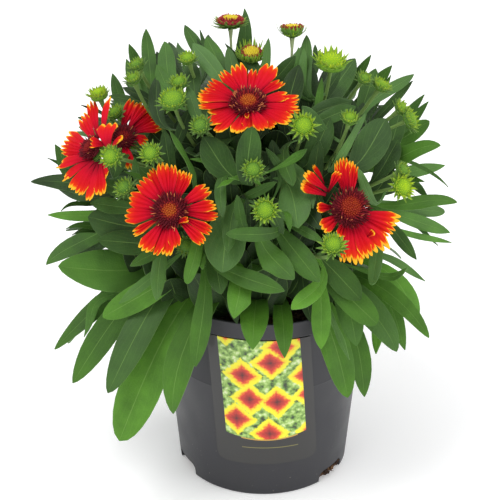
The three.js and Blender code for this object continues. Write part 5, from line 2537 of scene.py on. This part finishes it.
SEEN_LEAVES = tuple(SeenLeaf((x, y), (u, v), *rest) for x, y, u, v, *rest in (
    # a low tone on a leaf that lies deep in the mound is painted shade
    # tip, root, width, tone, depth, inner, then felt_and_sheen, droop, lean, blunt, peak and teeth where
    # given
    # middle, between the upper flowers and the lower ones
    (252, 126.5, 247, 182, 25, 0.25, 1.06, 0.96), (203, 137, 240, 180, 30, 0.25, 0.96, 0.86, 0, 0, 8),
    (190, 159, 212, 161, 5, 0.6, 0.9, 0.85), (217, 188, 236, 178, 6, 0.7, 0.98, 0.9, 0, 0, 50),
    (228, 178, 254, 181, 5, 0.7, 0.98, 0.9, 0, 0, 50), (307, 149, 290, 161, 9, 0.6, 0.95, 0.88),
    (319, 140, 315, 182, 16, 0.2, 0.88, 0.78), (293, 186, 284, 150, 16, 0.4, 0.93, 0.82),
    (276.5, 182, 250, 195, 10, 0.45, 0.94, 0.86),
    (298.5, 228, 284, 180, 33, 0.5, 0.92, 0.78, 0.5, 0, 0, 1.0, 2.0),
    (313, 208.5, 286, 164, 21, 0.5, 0.89, 0.78, 0.55, 0, 0, 0.95, 2.0),
    (323, 241, 300, 229, 10, 0.45, 0.93, 0.84), (321, 229, 302, 205, 18, 0.15, 0.9, 0.8),
    (290, 231.5, 287, 214, 7, 0.6, 0.96, 0.88), (283, 234, 270, 208, 14, 0.25, 0.9, 0.8, 0.3),
    (222.5, 217, 221, 182, 12, 0.35, 0.98, 0.9), (237, 195, 243, 226, 11, 0.4, 0.93, 0.86),
    (247, 198, 247, 228, 9, 0.1, 0.86, 0.8), (227.5, 252, 238, 203, 15, 0.35, 0.96, 0.84),
    (226, 234, 278, 231, 15, 0.45, 1.0, 0.88), (190, 108, 178, 140, 12, 0.15, 0.86, 0.8),
    (169, 130, 192, 172, 7, 0.5, 0.96, 0.88, 0, 0, 40), (164, 130, 170, 165, 14, 0.15, 0.85, 0.78),
    (272, 140, 276, 172, 14, 0.12, 0.85, 0.78), (266, 148, 280, 170, 8, 0.3, 0.9, 0.84),
    (330, 118, 310, 160, 24, 0.25, 0.88, 0.78),
    # lower middle
    (237, 324, 229, 290, 14, 0.1, 0.8, 0.68, 0, 20), (311, 322, 304, 288, 14, 0.12, 0.8, 0.68, 0, 20),
    (222, 272.5, 236, 212, 42, 0.45, 0.93, 0.78, 0.4, 15),
    (187, 284, 197, 238, 14, 0.75, 0.98, 0.84, 0, 15, 0, 0.45), (203, 269.5, 199, 252, 11, 0.7, 0.92, 0.84),
    (221, 294, 211, 256, 22, 0.35, 0.86, 0.72, 0, 15), (284.5, 291, 228, 271, 20, 0.5, 1.0, 0.8),
    (234, 318.5, 240, 278, 24, 0.75, 0.95, 0.76, 0, 20, 0, 0.76, 1.7, TOOTHED_LEFT),
    (294, 279.5, 262, 243, 24, 0.55, 1.0, 0.8, 0, 0, 0, 0.76, 1.7, TOOTHED_RIGHT),
    (319.5, 282, 280, 232, 25, 0.5, 0.97, 0.78), (291.5, 309.5, 324, 272, 18, 0.85, 1.02, 0.82),
    (321, 349, 318, 272, 20, 0.85, 0.99, 0.78, 0, 20), (361, 300, 318, 256, 26, 0.4, 0.95, 0.76),
    (377, 324, 332, 280, 27, 0.65, 1.03, 0.8, 0, 0, 0, 0.45),
    (356.5, 346, 342, 288, 26, 0.6, 0.98, 0.76, 0.35, 20),
    (364.5, 396.5, 352, 330, 22, 0.6, 0.97, 0.78, 0, 30),
    (349.5, 360, 332, 318, 8, 0.6, 1.02, 0.84, 0.5, 0, 35), (376, 354, 375, 312, 14, 0.95, 0.9, 0.75),
    (405, 350, 380, 290, 17, 0.7, 0.94, 0.74, 0.2, 15),
    (418, 317, 389, 273, 20, 0.85, 0.98, 0.78, 0, 0, 0, 0.55, 2.6),
    (407.5, 267.5, 382, 276, 8, 0.65, 0.98, 0.86, 0, -30), (425, 281, 386, 257, 8, 0.55, 0.97, 0.82, 0.5),
    (372, 285, 375, 242, 14, 0.6, 1.0, 0.86, 0.6, 0, 0, 0.45),
    (416.5, 259.5, 392, 228, 13, 0.35, 0.93, 0.8),
    # left side
    (61, 211, 90, 204, 5, 0.45, 0.98, 0.8, 0, 35), (48, 215, 104, 214, 11, 0.8, 1.0, 0.78),
    (66, 229, 102, 226, 7, 0.45, 0.98, 0.78, 0, 25), (72, 235, 100, 229, 6, 0.3, 0.94, 0.78, 0, 20),
    (46.6, 264.5, 104, 230, 18, 0.5, 1.0, 0.76, 0, 25), (66, 256, 106, 238, 17, 0.25, 0.9, 0.74),
    (57, 187, 97, 198, 12, 0.2, 0.93, 0.78), (130, 266, 157, 252, 12, 0.5, 0.98, 0.84),
    (88, 217, 142, 226, 36, 0.3, 0.92, 0.74, 0.2), (68, 162, 98, 168, 24, 0.1, 0.88, 0.78),
    (113, 178, 122, 156, 15, 0.35, 0.95, 0.86), (98, 240, 150, 244, 25, 0.3, 0.92, 0.74),
    (90.5, 203, 142, 207, 16, 0.4, 0.96, 0.8), (156.5, 300.5, 165, 248, 15, 0.55, 0.98, 0.8, 0.45),
    (119, 303.5, 158, 272, 11, 0.6, 0.98, 0.82, 0.5),
    (103, 317, 160, 284, 27, 0.75, 0.9, 0.66, 0, 0, 0, 0.55), (84, 337, 102, 298, 11, 0.7, 0.96, 0.8, 0.5),
    (195.5, 366.5, 205, 292, 20, 0.55, 0.98, 0.76, 0, 30), (55, 144.5, 76, 178, 15, 0.5, 0.96, 0.8, 0.3),
    (47.5, 158, 72, 168, 5, 0.4, 0.97, 0.85), (99, 180, 134, 198, 15, 0.4, 0.94, 0.82),
    (124, 171, 146, 180, 5, 0.6, 0.97, 0.88), (139, 167, 160, 188, 16, 0.4, 0.93, 0.84),
    (134, 158, 140, 186, 9, 0.5, 0.94, 0.84, 0.4), (79, 127, 98, 134, 7, 0.5, 0.93, 0.85, 0.5),
    (74.5, 132, 96, 136, 5, 0.5, 0.93, 0.85, 0.5), (81, 105, 100, 112, 4, 0.1, 0.93, 0.85),
    # right side
    (429.5, 121, 394, 143, 19, 0.55, 0.96, 0.78, 0, 0, 0, 0.5),
    (444.5, 165.5, 398, 175, 13, 0.7, 0.98, 0.78, 0.4), (448, 187, 396, 157, 4, 0.5, 1.0, 0.8, 0.3, 30),
    (424.5, 181.5, 396, 176, 6, 0.55, 0.96, 0.8), (428, 197, 404, 178, 9, 0.5, 0.93, 0.8, 0.6),
    (444.5, 212, 392, 206, 14, 0.6, 0.96, 0.76, 0.45, 0, 0, 0.45),
    (449.5, 232.5, 392, 213, 14, 0.75, 0.98, 0.76, 0.3), (438, 245.5, 410, 222, 5, 0.5, 0.93, 0.8, 0.6),
    (451, 242.5, 394, 229, 6.5, 0.75, 1.0, 0.78), (424.5, 94.5, 396, 126, 10, 0.4, 0.94, 0.8),
    (428.5, 101.5, 402, 130, 10, 0.45, 0.96, 0.8), (413.5, 74.5, 364, 120, 12, 0.5, 0.97, 0.8, 0.5),
    (412.5, 81, 374, 122, 9, 0.35, 0.95, 0.78), (376, 84, 352, 132, 15, 0.15, 0.88, 0.76),
    (340, 72, 318, 108, 11, 0.25, 0.88, 0.76), (322, 78, 316, 116, 8, 0.55, 0.93, 0.8),
    (319, 54, 309, 104, 12, 0.2, 0.86, 0.74), (330, 66, 318, 112, 13, 0.12, 0.84, 0.72),
    (276, 72, 270, 112, 26, 0.08, 0.78, 0.68), (392, 65.5, 368, 92, 13, 0.5, 0.92, 0.76),
    (371, 55, 352, 84, 10, 0.45, 0.92, 0.76), (391, 75, 378, 100, 7, 0.5, 0.94, 0.8),
    (355, 58.5, 340, 90, 12, 0.45, 0.92, 0.76), (375.5, 69, 360, 112, 18, 0.4, 0.95, 0.78),
    (355, 59, 314, 118, 24, 0.35, 0.9, 0.76, 0, 0, 0, 0.85), (296, 74, 284, 120, 24, 0.08, 0.8, 0.68),
    (386, 119, 350, 168, 33, 0.2, 0.97, 0.84, 0.25), (365, 114, 336, 164, 9, 0.5, 1.0, 0.9, 0.6, 0, 30),
    (401, 109, 382, 152, 18, 0.3, 0.92, 0.8), (352, 101, 318, 112, 17, 0.2, 0.93, 0.82, 0.3),
    (356, 106.5, 322, 120, 15, 0.4, 0.95, 0.84, 0.2), (358, 169, 376, 204, 10, 0.6, 1.04, 0.9, 0.6),
    (398, 140, 372, 182, 22, 0.25, 0.92, 0.8), (393, 166, 370, 198, 20, 0.2, 0.86, 0.76),
    (306, 90, 298, 132, 24, 0.08, 0.78, 0.66), (352, 100, 340, 142, 26, 0.1, 0.8, 0.68),
    # crest
    (268.5, 38.5, 263, 84, 9, 0.45, 0.98, 0.84, 0.4), (295.5, 56, 270, 84, 15, 0.25, 0.94, 0.8),
    (299, 65, 289, 104, 22, 0.1, 0.94, 0.82), (311, 66, 309, 108, 18, 0.15, 0.84, 0.74),
    (298.5, 47.5, 296, 86, 8, 0.55, 0.94, 0.8, 0.6), (304, 48.5, 304, 90, 9, 0.55, 0.95, 0.82, 0.5),
    (306.5, 35.5, 313, 98, 13, 0.4, 0.97, 0.82, 0.2), (315, 45, 314, 74, 7, 0.3, 0.9, 0.8),
    (320.5, 49, 312, 70, 6, 0.2, 0.9, 0.8), (302, 106, 320, 126, 13, 0.4, 0.95, 0.86, 0.5),
    (146, 29.5, 150, 102, 14, 0.45, 0.97, 0.82), (129, 44, 146, 86, 13, 0.5, 0.93, 0.8, 0.2),
    (126.5, 59.5, 140, 96, 11, 0.45, 0.93, 0.8), (112.5, 73.5, 122, 108, 13, 0.45, 0.93, 0.8, 0.5),
    (109, 96, 142, 101, 8, 0.25, 0.9, 0.8), (123, 87.5, 150, 101, 11, 0.1, 0.93, 0.82),
    (164.5, 42, 180, 96, 18, 0.5, 0.96, 0.82, 0.3), (169, 42.5, 190, 86, 12, 0.2, 0.9, 0.8),
    (157, 65, 174, 100, 15, 0.55, 0.93, 0.82), (157, 52, 162, 84, 10, 0.15, 0.88, 0.8),
    (185, 25.5, 204, 70, 13, 0.4, 0.95, 0.82), (200, 30, 208, 62, 5, 0.3, 0.95, 0.84),
    (206.5, 37, 222, 82, 16, 0.5, 0.96, 0.82), (193, 43.5, 222, 82, 17, 0.55, 0.98, 0.86, 0.8),
    (197, 39, 206, 60, 6, 0.2, 0.92, 0.84), (187, 86, 203, 128, 13, 0.45, 0.98, 0.9, 0.4),
    (190, 60, 193, 100, 16, 0.3, 0.92, 0.84), (157, 76, 158, 116, 16, 0.12, 0.9, 0.82),
    (228, 48, 234, 84, 14, 0.35, 0.92, 0.84, 0.3), (225, 43.5, 240, 62, 5, 0.15, 0.92, 0.84),
    (247, 52, 262, 80, 12, 0.3, 0.9, 0.82),
))


# ---------------------------------------------------------------- studio


@dataclass
class Studio:
    """A pale floor, soft light from all round with a key from the upper left, and the camera."""

    floor_size: float = 12.0
    world_strength: float = 0.92
    key_power: float = 22.0
    side_power: float = 8.0

    def build(self) -> None:
        """Sets the floor, the lights and the camera."""
        floor = fresh(bpy.ops.mesh.primitive_plane_add, size=self.floor_size, location=(0, 0, -0.0004))
        StudioPaper().dress(settle(floor, "studio_floor"))
        world = bpy.data.worlds.new("studio_light")
        world.use_nodes = True
        backdrop = world.node_tree.nodes["Background"]
        backdrop.inputs["Color"].default_value = srgb("#fbfbfc")
        backdrop.inputs["Strength"].default_value = self.world_strength
        bpy.context.scene.world = world
        self.softbox("key_softbox", (-0.7, -0.7, 2.1), 1.0, self.key_power)
        self.softbox("side_softbox", (1.5, -0.7, 0.9), 0.9, self.side_power)
        self.camera()
        bpy.context.scene.view_settings.view_transform = "Standard"

    def softbox(self, name: str, spot: tuple[float, float, float], size: float, power: float) -> None:
        """Hangs one square light that shines at the plant's middle.

        Args:
            name: what the light is called.
            spot: where it hangs, in metres.
            size: its side in metres.
            power: its power in watts.
        """
        light = bpy.data.lights.new(name, "AREA")
        light.shape, light.size, light.energy = "SQUARE", size, power
        lamp = bpy.data.objects.new(name, light)
        lamp.location = spot
        lamp.rotation_euler = (Vector((0, 0, 0.2)) - Vector(spot)).to_track_quat("-Z", "Y").to_euler()
        bpy.context.scene.collection.objects.link(lamp)

    def camera(self) -> None:
        """Stands the camera at the viewpoint."""
        lens = bpy.data.cameras.new("front_camera")
        lens.sensor_width = VIEW.sensor
        lens.lens = VIEW.focal_pixels / VIEW.frame_pixels * VIEW.sensor
        camera = bpy.data.objects.new("front_camera", lens)
        camera.location = Vector(VIEW.eye * MM)
        camera.rotation_euler = (math.radians(90 - VIEW.elevation), 0, 0)
        bpy.context.scene.collection.objects.link(camera)
        bpy.context.scene.camera = camera


# ---------------------------------------------------------------- the plant


def main() -> None:
    """Builds the studio, the pot and the whole plant."""
    logging.basicConfig(level=logging.INFO, format="%(message)s")
    Studio().build()
    pot = Pot()
    pot.build()
    Soil(pot).build()
    Crown().build()
    LabelCard(pot).build()
    blanks = Blanks()
    for flower in FLOWERS:
        flower.build(blanks)
    for opening in OPENING_HEADS:
        opening.build(blanks)
    for number, head in enumerate(NODE_BUDS):
        Bud(head, BUD_LOOKS.get(head.name, BudLook()), seed=60 + number).build(blanks, head.name)
    for number, head in enumerate(SIDE_BUDS):
        Bud(head, BUD_LOOKS.get(head.name, BudLook()), seed=80 + number).build(blanks)
    opening_heads = (opening.head for opening in OPENING_HEADS)
    heads = {head.name: head for head in (*FLOWER_HEADS, *opening_heads, *NODE_BUDS, *SIDE_BUDS)}
    open_flowers = tuple(head.name for head in FLOWER_HEADS)
    Foliage(heads, blanks, NODE_LEAVES, SEEN_LEAVES, open_flowers).build()


if __name__ == "__main__":
    main()
